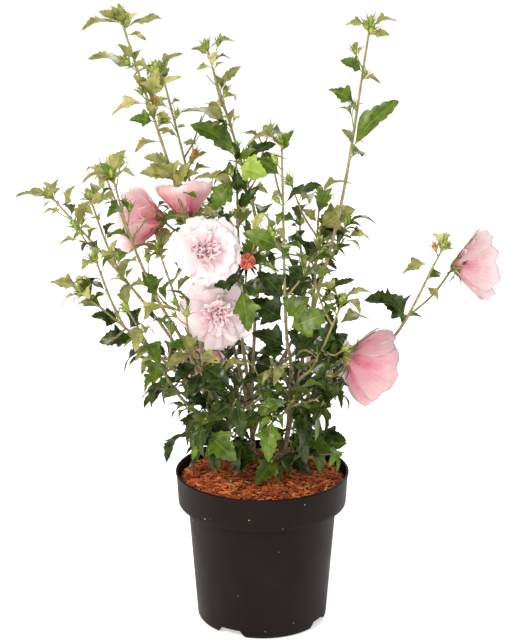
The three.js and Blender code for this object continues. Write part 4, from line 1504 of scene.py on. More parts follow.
    def shown_leaf(self, number: int, leaf: ShownLeaf) -> Leaf:
        """A leaf that grows as the photograph shows it.

        It runs from its bearer to the picture's tip, a little nearer the viewer there. Its face is
        turned about that line, from up at 0 to the viewer at 90 degrees.

        Args:
            number: Its place in the list.
            leaf: What the photograph shows.

        Returns:
            The leaf, rooted on its bearer.
        """
        root = self._rooted(leaf)
        if leaf.spur:
            foot, root = root, root + leaf.spur * unit(np.array(VIEW.eye) - root)
            path = bowed(foot, root, 0.5, -0.1)
            self.spurs.append(Twig(700 + number, path, 0, path.length, 1.2, 0.8))
        reach = VIEW.at_depth(leaf.tip_px, root[1] - self.shown_ahead * leaf.ahead) - root
        along, roll = unit(reach), math.radians(leaf.roll)
        ways = np.array([(0, 0.1, 1), (0, -1, 0.25)])
        up, out = (unit(way - along * (way @ along)) for way in ways)
        side = unit(np.cross(along, unit(up * math.cos(roll) + out * math.sin(roll))))
        return Leaf(root, along, side, float(np.linalg.norm(reach)), leaf.green,
                    (self.SHOWN + number, 0, 0), leaf.width)

    def _shown_bud(self, number: int, bud: ShownBud) -> None:
        """A bud on a short stalk, as the photograph shows it.

        Args:
            number: Its place in the list.
            bud: What the photograph shows.
        """
        path = self.rule.boughs[bud.bearer][0]
        root = path.frames(bud.at * path.length).point
        bearing = math.radians(bud.bearing)
        out = unit((math.cos(bearing), -0.2, math.sin(bearing)))
        foot = root + out * bud.stalk
        path = bowed(root, foot, 0.5, -0.08)
        self.spurs.append(Twig(800 + number, path, 0, path.length, 0.9, 0.8))
        self.buds.append(SmallBud(foot, unit(out + 0.5 * UP), bud.size, 7000 + number, bud.orange))

    def _gives_way(self, shown: Sequence[Leaf]) -> Array:
        """Whether each leaf leaves the shown leaves, the openings and the windows free.

        Args:
            shown: The shown leaves.

        Returns:
            A truth for each leaf by the rule.
        """
        middles, theirs = (
            np.array([leaf.root + self.shown_middle * leaf.length * leaf.along for leaf in leaves])
            for leaves in (self.leaves, shown))
        seen = VIEW.pixels(middles)
        apart = np.linalg.norm(seen[:, None] - VIEW.pixels(theirs)[None], axis=-1)
        deep = np.abs(middles[:, None, 1] - theirs[None, :, 1])
        free = ~((apart < self.shown_room_px) & (deep < self.shown_deep)).any(1)
        for gap in (*OPENINGS, *WINDOWS):
            off = (seen - (gap.column_px, gap.row_px)) / (gap.wide_px, gap.tall_px)
            inside = (off ** 2).sum(1) < 1
            free &= ~(inside & (middles[:, 1] < gap.behind))
        lone = np.array([not self.rule.masses[leaf.keys[0]].sprigs for leaf in self.leaves])
        forward = np.array([leaf.along[1] < 0.3 and leaf.slim > 0.8 for leaf in self.leaves])
        return free & ~(lone & forward)

    def _free(self) -> Array:
        """Whether each leaf misses the boughs, the blossoms, the pot and the mulch.

        Six spots of each leaf are tried: four along its midrib and one at each margin.

        Returns:
            A truth for each leaf by the rule.
        """
        roots = np.array([leaf.root for leaf in self.leaves])
        reach = np.array([leaf.along * leaf.length for leaf in self.leaves])
        wide = np.array([leaf.side * leaf.length * self.half_width for leaf in self.leaves])
        droop = -UP * np.array([leaf.length for leaf in self.leaves])[:, None]
        spots = [(0.35, 0, 0), (0.55, 0, 0.02), (0.8, 0, 0.08), (1, 0, 0.16), (0.5, 1, 0.02),
                 (0.5, -1, 0.02)]
        points = np.stack([roots + reach * a + wide * b + droop * c for a, b, c in spots], 1)
        free = np.ones(len(roots), bool)
        for path, knee, girth in self._limbs():
            frames = path.frames(np.linspace(4, knee, max(6, int(knee / 4))))
            gaps = np.linalg.norm(points[:, :, None] - frames.point[None, None], axis=-1)
            free &= gaps.min((1, 2)) > girth + self.limb_room
        for bloom in (*BLOOMS, *LEADER_BLOOMS):
            facing = unit(bloom.facing)
            off = points - np.array(bloom.heart)
            ahead = off @ facing
            aside = np.linalg.norm(off - ahead[..., None] * facing, axis=-1)
            inside = (ahead > -4) & (ahead < bloom.kind.value.room) & (aside < bloom.radius * 1.02 + 1)
            if bloom.kind is Kind.TRUMPET:
                inside &= aside < 9 + np.maximum(ahead, 0) * 0.95
            free &= ~inside.any(1)
        radius, height = np.linalg.norm(points[..., :2], axis=-1), points[..., 2]
        sunk = (height < self.mix_top) & (radius < self.mix_reach)
        in_rim = (height < self.rim_top) & (radius > self.rim_band[0]) & (radius < self.rim_band[1])
        return free & ~(sunk | in_rim).any(1) & (height.min(1) > self.lowest)

    def _limbs(self) -> list[tuple[Path, float, float]]:
        """Each stem and bough with its bare length and radius."""
        stems = [(path, path.length, self.stem_girth) for path in self.rule.stems.values()]
        return stems + [(path, knee, Wood.bare_tip) for path, knee in self.rule.boughs.values()]

    def blades(self, leaves: Sequence[Leaf]) -> tuple[Shape, Shape]:
        """The faces and the undersides of some leaves.

        Each blade is its toothed outline folded up along the midrib, arched along its length,
        hung at its tip and waved at its margin, on a short petiole.

        Args:
            leaves: The leaves to draw.

        Returns:
            The upper faces with the petioles, and the undersides.
        """
        whim = np.array([[dice(*leaf.keys, salt) for salt in range(61, 67)] for leaf in leaves])
        slim = np.array([leaf.slim for leaf in leaves])
        kind = np.where(slim < 0.82, 2, np.where(whim[:, 1] < 0.55, 0, 1))
        place_along, half = self.OUTLINES[kind][..., 0], self.OUTLINES[kind][..., 1]
        count, rows = half.shape
        length = np.array([leaf.length for leaf in leaves])[:, None, None]
        rib = np.clip(place_along - 0.5 * half, 0, 1)
        x = self.petiole + (1 - self.petiole) * np.stack([place_along, rib, place_along], 1)
        half = half * (1.02 + 0.3 * whim[:, :1]) * np.maximum(slim, 1)[:, None]
        y = (1 - self.petiole) * np.stack([half, half * 0, -half], 1)
        limp = np.array([0.55 if leaf.keys[0] >= self.SHOWN else 1.0 for leaf in leaves])
        arch = ((0.45 + 0.5 * whim[:, 2]) * limp)[:, None, None]
        hang = ((0.3 + 0.9 * whim[:, 3] ** 1.5) * limp)[:, None, None]
        fold = (0.15 + 0.45 * whim[:, 4])[:, None, None]
        wave = 0.16 * np.sin(9.5 * x + TURN * whim[:, 5][:, None, None] + np.sign(y) * 0.9)
        z = arch * x * (1 - x) - hang * np.clip(x - 0.5, 0, 1) ** 2 + fold * np.abs(y) + 2 * wave * np.abs(y)
        root = np.array([leaf.root for leaf in leaves])
        along = np.array([leaf.along for leaf in leaves])
        side = np.array([leaf.side for leaf in leaves])
        face = np.cross(side, along)
        off = sum(c[..., None] * v[:, None, None] for c, v in [(x, along), (y, -side), (z, face)])
        points = root[:, None, None] + length[..., None] * off
        # One list of points for each leaf: left margin, midrib, right margin
        flat = points.reshape(count, 3 * rows, 3)
        sheet = self._sheet(rows)
        lower = flat - face[:, None] * self.thickness * np.repeat([0.25, 1.0, 0.25], rows)[None, :, None]
        # Turned round with each quad's own diagonal kept, so that neither sheet comes through the other
        back = [0, 3, 2, 1]
        turned = Shape(sheet.points, sheet.quads[:, back], sheet.quad_uv[:, back],
                       sheet.tris[:, ::-1], sheet.tri_uv[:, ::-1])
        faces = Shape.joined([sheet.stamped(flat), self._petioles(leaves, points, face)])
        return faces, turned.stamped(lower)

    def _sheet(self, rows: int) -> Shape:
        """The faces of one blade: two strips from midrib to margins, with a triangle at each end.

        Args:
            rows: Points along the midrib and along each margin.

        Returns:
            The faces, with their points still at zero.
        """
        i = np.arange(rows - 1)
        left, rib, right = i, i + rows, i + 2 * rows
        quads = np.concatenate([np.stack([rib, rib + 1, left + 1, left], 1),
                                np.stack([rib, right, right + 1, rib + 1], 1)])
        across, along = np.meshgrid([0, 0.5, 1], np.arange(rows) / (rows - 1), indexing="ij")
        uv = np.stack([across.ravel(), along.ravel()], 1)
        corners = {0: [0, 1, 2], rows - 2: [0, 1, 3], rows - 1: [0, 2, 3], 2 * rows - 3: [0, 1, 3]}
        tris = np.array([quads[n][kept] for n, kept in corners.items()])
        quads = np.delete(quads, list(corners), 0)
        return Shape(np.zeros((3 * rows, 3)), quads, uv[quads], tris, uv[tris])

    def _petioles(self, leaves: Sequence[Leaf], points: Array, face: Array) -> Shape:
        """Three-sided stalks from each leaf's root to its blade.

        Args:
            leaves: The leaves.
            points: Their blades, of shape (leaves, 3, rows, 3).
            face: The way that each blade faces.

        Returns:
            All the stalks as one shape.
        """
        root = np.array([leaf.root for leaf in leaves])
        foot = points[:, 1, 0]
        heading = unit(foot - root)
        across = unit(np.cross(heading, face))
        over = np.cross(across, heading)
        angle = round_angles(3)[None, :, None]
        ring = across[:, None] * np.cos(angle) + over[:, None] * np.sin(angle)
        thick_foot, thick_tip = 0.75, 0.5
        tube = np.stack([root[:, None] + ring * thick_foot,
                         foot[:, None] + heading[:, None] + ring * thick_tip], 1)
        template = grid_shape(np.zeros((2, 3, 3)), closed=True)
        template.quad_uv = np.full_like(template.quad_uv, 0.5)
        return template.stamped(tube.reshape(len(leaves), 6, 3))

    def bud_shapes(self) -> tuple[Shape, Shape, Shape]:
        """The small buds: green ones, orange-tipped ones, and the narrow bracts of both.

        Along a bud its girth follows a half wave that leans to the foot, crimped in five folds.

        Returns:
            The green buds, the orange ones and the bracts.
        """
        rows, columns = 7, 8
        share = np.linspace(0, 1, rows)
        girth = 0.32 * np.sin(np.pi * np.clip(share * 0.93 + 0.05, 0, 1)) ** 0.8 * (1 - 0.4 * share)
        angle = round_angles(columns)
        crimp = 1 + 0.08 * np.cos(5 * angle)
        one_bud = polar(girth[:, None] * crimp, angle, share[:, None])
        template = grid_shape(one_bud, closed=True, capped=True, flip=True)
        green, orange, bracts = [], [], []
        for bud in self.buds:
            turn = swing(bud.heading)
            made = template.points @ turn.T * bud.size + bud.foot
            (orange if bud.orange else green).append(made)
            bracts.append(bract_points(bud.foot, turn, bud.size * 1.25, 8, bud.key, 0.36))
        bract = bract_template()
        both = [template.stamped(np.array(each)) for each in (green, orange)]
        return both[0], both[1], bract.stamped(np.concatenate(bracts))

    def build(self) -> None:
        """Makes the leaf pieces by colour, the spurs and the buds."""
        nodes = [f"foliage_{mass.name}" for mass in self.rule.masses]
        backs: dict[Under, list[Shape]] = {under: [] for under in Under}
        for green in Green:
            own = [leaf for leaf in self.leaves if leaf.green is green]
            if not own:
                continue
            faces, undersides = self.blades(own)
            place(make_object(f"leaves_{green.name.lower()}", faces, green.value.make()), nodes)
            under = Under.SHADED if green in (Green.DEEP, Green.MID) else Under.PALE
            backs[under].append(undersides)
        for under, shapes in backs.items():
            piece = make_object(f"undersides_{under.name.lower()}", Shape.joined(shapes), under.value.make())
            place(piece)
        wood = Wood(self.rule)
        spurs = [wood.limb(s.path, 0, s.end, np.array([s.foot, s.tip]), 5, 7, 0.04) for s in self.spurs]
        green_wood = BarkFinish("bark_of_spurs", 0x8A9450, 0x6C7A3C, 0xB5BC80, 0.6).make()
        place(make_object("spurs", Shape.joined(spurs), green_wood))
        green, orange, bracts = self.bud_shapes()
        calyx = LeafFinish("bud_green", 0xA4B455, 0x7E9038, 0xC6D084, 0.5).make()
        place(make_object("buds_green", green, calyx))
        coral = PetalFinish("bud_orange", 0xE0794A, 0xC98A4A, 0x9AA04A, 0.3, 0.62).make()
        place(make_object("buds_orange", orange, coral))
        sepal = LeafFinish("bract_green", 0x7F9440, 0x62762C, 0xA9B868, 0.5).make()
        place(make_object("bracts", bracts, sepal))


def swing(facing: Array) -> Array:
    """A turn that takes +Z to a direction, as a matrix whose columns are the turned axes.

    Args:
        facing: The direction.

    Returns:
        The matrix.
    """
    z = unit(facing)
    x = unit(np.cross(UP if abs(z[2]) < 0.9 else (1, 0, 0), z))
    return np.stack([x, np.cross(z, x), z], 1)


def bract_template() -> Shape:
    """The faces of one bract: a three-sided needle in four rings.

    Returns:
        The faces, with their points still at zero.
    """
    template = grid_shape(np.zeros((4, 3, 3)), closed=True, capped=True, flip=True)
    template.quad_uv[..., 0] = 0.25
    return template


def bract_points(point: Array, turn: Array, length: float, count: int, key: int, spread: float,
                 stout: float = 1.0) -> Array:
    """Narrow bracts that stand round a bud or calyx and curve out at their tips.

    A bract's middle line leans out by an angle that grows with the share of its length.

    Args:
        point: The foot of the bud.
        turn: The bud's axes as a matrix.
        length: Length of a bract.
        count: How many there are.
        key: Whole number that deals their whims.
        spread: How far they lean out, in radians.
        stout: Scale of their thickness.

    Returns:
        Points of shape (count, 14, 3): four rings of three, and the two end points.
    """
    share = np.linspace(0, 1, 4)
    girth = stout * np.array([0.65, 0.7, 0.5, 0.1])
    made = []
    for n in range(count):
        lean = spread * (0.6 + 0.7 * dice(key, n, 81))
        own = length * (0.8 + 0.4 * dice(key, n, 82))
        bearing = TURN * (n + 0.5 * dice(key, n, 83)) / count
        out = polar(1, bearing, 0)
        tangent = np.array([-out[1], out[0], 0])
        angle = lean * (0.5 + share)
        centre = 1.2 * out + own * (np.sin(angle) * share)[:, None] * out
        centre = centre + own * (np.cos(angle) * share)[:, None] * UP
        corner = round_angles(3)
        ring = np.cos(corner)[:, None] * out + 1.3 * np.sin(corner)[:, None] * tangent
        rings = centre[:, None] + girth[:, None, None] * ring[None]
        flat = rings.reshape(-1, 3)
        made.append(np.concatenate([flat, rings[:1].mean(1), rings[-1:].mean(1)]))
    return np.array(made) @ turn.T + point


# Blossom


@dataclass(frozen=True)
class Whorl:
    """A ring of petals: how many, how long and wide as shares of the radius, and how they rise."""

    petals: int
    length: float
    width: float
    rise_foot: float
    rise_tip: float
    ruffle: float
    start_turn: float


@dataclass
class Blossom:
    """One flower's petals, calyx and bracts."""

    bloom: Bloom
    seed: int
    inner: Material | None = None
    rows: int = 13
    columns: int = 15
    petal_thickness: float = 0.45
    open_swell: float = 1.06

    DOUBLE_WHORLS = (
        Whorl(5, 1.0, 0.78, 0.4, 0.0, 0.035, 0.2),
        Whorl(5, 0.84, 0.62, 0.6, 0.2, 0.05, 0.85),
        Whorl(4, 0.62, 0.42, 0.8, 0.6, 0.08, 0.35),
    )
    HEART_WHORLS = (
        Whorl(5, 0.52, 0.26, 1.0, 1.0, 0.11, 0.1),
        Whorl(5, 0.42, 0.2, 1.1, 1.5, 0.13, 0.6),
        Whorl(4, 0.3, 0.16, 1.1, 1.9, 0.13, 0.3),
    )
    INNER_WHORLS = (
        Whorl(5, 0.84, 0.4, 1.3, 0.95, 0.1, 0.1),
        Whorl(4, 0.66, 0.26, 1.42, 1.3, 0.14, 0.5),
    )

    def _net(self, rows: int, columns: int) -> tuple[Array, Array]:
        """The places of a petal's points along it, 0 to 1, and across it, -1 to 1."""
        return np.meshgrid(np.linspace(0, 1, rows), np.linspace(-1, 1, columns), indexing="ij")

    def whorl(self, whorl: Whorl) -> list[Shape]:
        """The petals of one ring.

        Each petal follows a line that rises at one angle and bends to another, is widest near
        its tip, rounds off at the corners, cups a little and ruffles towards its margin.

        Args:
            whorl: The ring's habit.

        Returns:
            One surface for each petal.
        """
        radius = self.bloom.radius
        a, b = self._net(self.rows, self.columns)
        made = []
        for n in range(whorl.petals):
            keys = (self.seed, round(whorl.length * 100), n)
            whim = [dice(*keys, salt) for salt in range(91, 98)]
            stray = 0.4 if whorl.length > 0.8 else 0.9
            turn = whorl.start_turn + TURN * (n + stray * (whim[0] - 0.5)) / whorl.petals
            length = radius * whorl.length * (0.82 + 0.3 * whim[1])
            notches = 0.045 * np.cos(2.5 * TURN * b * (0.6 + 0.4 * whim[2]) + 6 * whim[3])
            s = a * (1 - 0.2 * np.abs(b) ** 2.6 - notches)
            rise = blend(whorl.rise_foot, whorl.rise_tip - stray * (whim[4] - 0.5), s)
            out, up = length * s * np.cos(rise * (1 - 0.25 * s)), length * s * np.sin(rise)
            wide = radius * whorl.width * (0.14 + 0.86 * np.sin(np.clip(s / 0.74, 0, 1) * np.pi / 2) ** 1.15)
            wide = wide * (1 - 0.15 * np.clip((s - 0.74) / 0.26, 0, 1) ** 2)
            fine = np.sin(b * 11 + s * 4 + 9 * whim[2])
            ripple = np.sin(b * (5.5 + 3 * whim[5]) + 6 * whim[6]) + 0.6 * fine
            up = up + radius * whorl.ruffle * ripple * s**1.6 + 0.1 * radius * b**2 * s
            out = out + 0.6 * radius * whorl.ruffle * np.cos(b * 7 + 5 * whim[3]) * s**2
            aside = wide * b + 0.05 * radius * np.sin(s * 5 + 6 * whim[1]) * s
            x = (out + 1.5) * math.cos(turn) - aside * math.sin(turn)
            y = (out + 1.5) * math.sin(turn) + aside * math.cos(turn)
            made.append(grid_shape(np.stack([x, y, up + 1.5], -1), flip=True))
        return made

    def funnel(self) -> list[Shape]:
        """Five overlapping outer petals of a half-open flower.

        Along a petal the radius and height follow the part's turned profile. Across it the
        surface turns about the flower's axis, one edge under its neighbour and one over, and the
        rim is scalloped and ruffled.

        Returns:
            One surface for each petal.
        """
        radius = self.bloom.radius
        stations = np.array([0.0, 0.14, 0.42, 0.78, 1.0])
        profile = np.array([(3.5, 1.0), (9, 5), (0.54 * radius, 19), (0.94 * radius, 37),
                            (0.98 * radius, 50)])
        a, b = self._net(self.rows + 2, self.columns + 4)
        made = []
        for n in range(5):
            whim = [dice(self.seed, n, salt) for salt in range(101, 108)]
            scallop = 0.03 * np.cos(9 * b + 6 * whim[0]) + 0.02 * np.cos(17 * b + 6 * whim[1])
            s = a * (0.98 - 0.26 * np.abs(b) ** 2.6 - scallop - 0.08 * (whim[5] - 0.3))
            out = np.interp(s, stations, profile[:, 0]) * (0.94 + 0.16 * whim[2] * s)
            up = np.interp(s, stations, profile[:, 1])
            fan = 0.95 * (0.62 + 0.38 * np.clip(s * 2.2, 0, 1))
            turn = TURN * (n + 0.12 * (whim[3] - 0.5)) / 5 + 0.4 + b * fan
            lap = 1.6 * b * np.clip(s * 3, 0, 1)
            ripple = np.sin(b * 6.5 + 6 * whim[4]) + 0.5 * np.sin(b * 13 + 9 * whim[0])
            out = out + lap + 1.9 * ripple * s**2.5
            up = up + 1.6 * np.cos(b * 5.5 + 6 * whim[6]) * s**2
            made.append(grid_shape(polar(out, turn, up), flip=True))
        return made

    def ball(self) -> Shape:
        """A bud about to open: a ball of rolled petals, creased in crooked furrows.

        The radius dips in a bell wherever a noise crosses zero. The UV's height is 0 in a furrow and 1
        on a ridge, so that the finish's deep red is painted shade in the furrows.

        Returns:
            The closed ball.
        """
        radius = self.bloom.radius
        rows, columns = 50, 66
        tilt = np.linspace(0.12, math.pi - 0.04, rows)
        u, v = np.meshgrid(np.arange(columns) / columns, tilt / math.pi * 6)
        crossing = lattice_noise(u, v, 7, 9) + 0.3 * lattice_noise(u, v * 2, 8, 18)
        furrows = 1.03 - 0.2 * np.exp(-((crossing / 0.22) ** 2)) - 0.04 * np.abs(crossing)
        rise = tilt[:, None]
        ring = polar(np.sin(rise), round_angles(columns), -np.cos(rise))
        ring = ring * (radius * 0.98 * furrows)[..., None] + 0.95 * radius * UP
        ball = grid_shape(ring, closed=True, capped=True, flip=True)
        # Painted shade: the UV sends the finish's deep red into the furrows
        lowest, deep = 0.81, 0.2
        ball.quad_uv[..., 1] = ((furrows.ravel() - lowest) / deep)[ball.quads]
        return ball

    def calyx(self) -> Shape:
        """The green cup behind the petals, with five pointed sepals.

        Its height and girth rise with a wave of five points round the rim, and its wall turns back inside.

        Returns:
            The closed cup.
        """
        wide = self.bloom.kind.value.cup
        rise = np.array([0, 0.06, 0.15, 0.3, 0.5, 0.75, 1, 0.97, 0.6, 0.3])[:, None]
        inner = np.array([0, 0, 0, 0, 0, 0, 0, 0.5, 0.9, 0.9])[:, None]
        angle = round_angles(30)
        point = 0.5 + 0.5 * np.cos(5 * angle)
        height = -2 + rise * wide * (8 + 9 * point**1.3)
        girth = wide * (1.0 + 8.0 * np.sin(np.clip(rise * 1.1, 0, 1) * np.pi / 2))
        girth = girth + rise**3 * 1.2 * point - inner
        return grid_shape(polar(girth, angle, height), closed=True, capped=True, flip=True)

    def build(self, petal: Material, sepal: Material, nodes: Sequence[str], stalk: Shape) -> None:
        """Makes the flower where it belongs.

        Args:
            petal: The petals' finish.
            sepal: The finish of calyx, bracts and stalk.
            nodes: The CAD nodes that it stands for.
            stalk: The stalk that carries it.
        """
        bloom = self.bloom
        core = []
        if bloom.kind is Kind.DOUBLE:
            petals = [p for whorl in self.DOUBLE_WHORLS for p in self.whorl(whorl)]
            core = [p for whorl in self.HEART_WHORLS for p in self.whorl(whorl)]
        elif bloom.kind is Kind.TRUMPET:
            petals = self.funnel() + [p for whorl in self.INNER_WHORLS for p in self.whorl(whorl)]
        else:
            petals = [self.ball()]
        turn, heart = swing(bloom.facing), np.array(bloom.heart, float)
        head = Shape.joined(petals)
        reach = np.percentile(np.linalg.norm(head.points[:, :2], axis=1), 98)
        swell = bloom.radius * (1.0 if bloom.kind is Kind.DOUBLE else self.open_swell) / reach
        for name, surfaces, finish in (("petals", petals, petal), ("heart", core, self.inner or petal)):
            if not surfaces:
                continue
            head = Shape.joined(surfaces)
            if bloom.kind is not Kind.BUD:
                head.points[:, :2] *= swell
            piece = make_object(f"{name}_{bloom.name}", head.set_at(turn, heart), finish)
            if bloom.kind is not Kind.BUD:
                solidify = piece.modifiers.new("thickness", "SOLIDIFY")
                solidify.thickness, solidify.offset = self.petal_thickness * MM, 0.0
                bake_modifiers(piece)
            place(piece, nodes)
        habit = bloom.kind.value
        bracts = bract_points(heart - 2 * turn[:, 2], turn, habit.bract_length, habit.bracts, self.seed,
                              habit.bract_spread, habit.bract_stout)
        greenery = [self.calyx().set_at(turn, heart), bract_template().stamped(bracts), stalk]
        place(make_object(f"calyx_{bloom.name}", Shape.joined(greenery), sepal))


@dataclass
class Flowering:
    """All the blossom of the shrub."""

    rule: GrowingRule

    def stalk(self, bloom: Bloom, start: Array) -> Shape:
        """A flower's stalk: from its bearer, with a little sag, into the calyx."""
        path = bowed(start, np.array(bloom.heart) + 2 * unit(bloom.facing), 0.55, -0.08)
        return Wood(self.rule).limb(path, 0, path.length, np.array([1.2, 1.5]), 8, 3, 0.04)

    def build(self) -> None:
        """Makes every flower with its finish."""
        pale = PetalFinish("petal_pale_pink", 0xEFDFE2, 0xEFCAD2, 0xD64C7C, 0.08, 0.9, 0.12, 0.08).make()
        heart = PetalFinish("petal_heart_pink", 0xF8E2E7, 0xF4B2C4, 0xDC3C74, 0.25, 0.9, 0.3, 0.4).make()
        shell = PetalFinish("petal_shell_pink", 0xCEBABD, 0xC48E98, 0xB23456, 0.2, 1.0, 0.26, 0.6).make()
        # Painted shade: a darker copy of the shell pink, for the low bloom under the crown
        shell_painted_shade = PetalFinish("petal_shell_pink_painted_shade", 0xC8A4AA, 0xB97A86, 0xAE3254, 0.24, 0.95, 0.3, 0.6).make()
        rose = PetalFinish("petal_rose_pink", 0xFFDADC, 0xF08092, 0xD42E5C, 0.3, 1.0, 0.28, 0.7).make()
        # Painted shade: its deep red falls in the red bud's furrows
        coral = PetalFinish("petal_coral_bud_painted_furrow_shade", 0xF48E76, 0xE05A44, 0xA02A20, 0.45, 1.0, 0.2).make()
        sepal = LeafFinish("sepal_green", 0x6C7430, 0x4C5420, 0x929652, 0.48).make()
        dark_sepal = LeafFinish("sepal_dark_green", 0x2C3616, 0x1E250E, 0x4A5628, 0.5).make()
        for number, bloom in enumerate(BLOOMS):
            path, knee = self.rule.boughs[bloom.bearer]
            stalk = self.stalk(bloom, path.frames(bloom.at * knee).point)
            petal = pale if bloom.kind is Kind.DOUBLE else shell_painted_shade if bloom.name == "low_right" else rose
            Blossom(bloom, 500 + number, heart).build(petal, sepal, [f"bloom_{bloom.name}"], stalk)
        for number, bloom in enumerate(LEADER_BLOOMS):
            path, knee = self.rule.boughs[bloom.bearer]
            root = path.frames(blend(knee + self.rule.gap, path.length, bloom.at)).point
            petal, green = (coral, dark_sepal) if bloom.kind is Kind.BUD else (shell, sepal)
            Blossom(bloom, 600 + number).build(petal, green, [], self.stalk(bloom, root))


# Pot and mulch


@dataclass
class NurseryPot:
    """The moulded pot: a tapered body under a wider collar, notched at its foot."""

    rim: float = 115
    height: float = 208
    collar: float = 44
    collar_foot: float = 112.5
    body_top: float = 100
    base: float = 87.5
    wall: float = 2.4
    bead: float = 0.8
    floor_rise: float = 11
    pad: float = 30
    segments: int = 180
    notch_bearing: float = 241
    notch_foot: float = 22.5
    notch_top: float = 14
    notch_height: float = 10
    drain_ring: float = 58
    drain_radius: float = 6
    sharp_deg: float = 34
    cut_from: float = 60
    cut_to: float = 110

    def profile(self) -> Array:
        """The wall's closed profile, from the underside out and up, and back down inside.

        Returns:
            Rows of radius and height.
        """
        wall, rise, pad, base, top = self.wall, self.floor_rise, self.pad, self.base, self.body_top
        collar, rim, bead, high = self.collar_foot, self.rim, self.bead, self.height
        step = high - self.collar
        foot = [(0, 0), (pad + wall - 1, 0), (pad + wall, 0.8), (pad + wall + 5, rise), (base - 7, rise),
                (base - 9, 0.6), (base - 8.4, 0), (base - 5, 0), (base - 3, 0.5), (base - 1.4, 1.6),
                (base - 0.4, 3.2), (base, 5), (base + 0.3, 8), (top - 1.0, step - 8)]
        under_collar = [(top - 0.3, step - 1), (top + 0.4, step + 1.2), (top + 1.4, step + 1.5),
                        (collar - 1.3, step + 1.2), (collar - 0.4, step + 0.3), (collar, step + 1.2),
                        (collar + 0.2, step + 5)]
        lip = [(rim - 0.4, high - 6), (rim - 0.2, high - 3.4), (rim + bead * 0.7, high - 2.9),
               (rim + bead, high - 2), (rim + bead, high - 1), (rim + bead * 0.4, high - 0.25),
               (rim - 0.4, high), (rim - wall + 0.5, high), (rim - wall, high - 0.6)]
        inside = [(collar - wall, step + wall + 0.6), (collar - wall - 0.8, step + wall),
                  (top - wall, step + wall), (base - wall + 0.8, rise + wall), (pad + 5, rise + wall),
                  (pad, wall), (0, wall)]
        return np.array(foot + under_collar + lip + inside, float)

    def build(self) -> None:
        """Turns the profile, then cuts the foot's notches and the drain holes."""
        profile = self.profile()
        grid = polar(profile[1:-1, :1], round_angles(self.segments), profile[1:-1, 1:])
        shape = grid_shape(grid, closed=True, capped=True, flip=True)
        shape.points[-2:] = [(0, 0, profile[0, 1]), (0, 0, profile[-1, 1])]
        plastic = PolypropyleneFinish().make()
        pot = make_object("nursery_pot", shape, plastic)
        cutters = make_object("pot_cutters", Shape.joined(self._notches() + self._drains()), plastic)
        cut = pot.modifiers.new("notches", "BOOLEAN")
        cut.operation, cut.solver, cut.object = "DIFFERENCE", "EXACT", cutters
        bake_modifiers(pot)
        bpy.data.objects.remove(cutters)
        pot.data.set_sharp_from_angle(angle=math.radians(self.sharp_deg))
        place(pot, ["pot"])

    def _notches(self) -> list[Shape]:
        """Prisms of a trapezoid that cut through the foot ring.

        Returns:
            Four prisms, a quarter turn apart.
        """
        corners = np.array([(-self.notch_foot, -1), (self.notch_foot, -1),
                            (self.notch_top, self.notch_height), (-self.notch_top, self.notch_height)])
        made = []
        for n in range(4):
            out = polar(1, math.radians(self.notch_bearing + 90 * n), 0)
            face = corners[:, :1] * np.array([-out[1], out[0], 0]) + corners[:, 1:] * UP
            grid = np.stack([face + out * self.cut_from, face + out * self.cut_to])
            made.append(grid_shape(grid, closed=True, capped=True, flip=True))
        return made

    def _drains(self) -> list[Shape]:
        """Upright rods that cut the drain holes through the floor.

        Returns:
            Four rods, a quarter turn apart.
        """
        made = []
        for n in range(4):
            middle = polar(self.drain_ring, math.radians(45 + 90 * n), 0)
            ring = middle + polar(self.drain_radius, round_angles(16), 0)
            grid = np.stack([ring + 5 * UP, ring + 20 * UP])
            made.append(grid_shape(grid, closed=True, capped=True, flip=True))
        return made


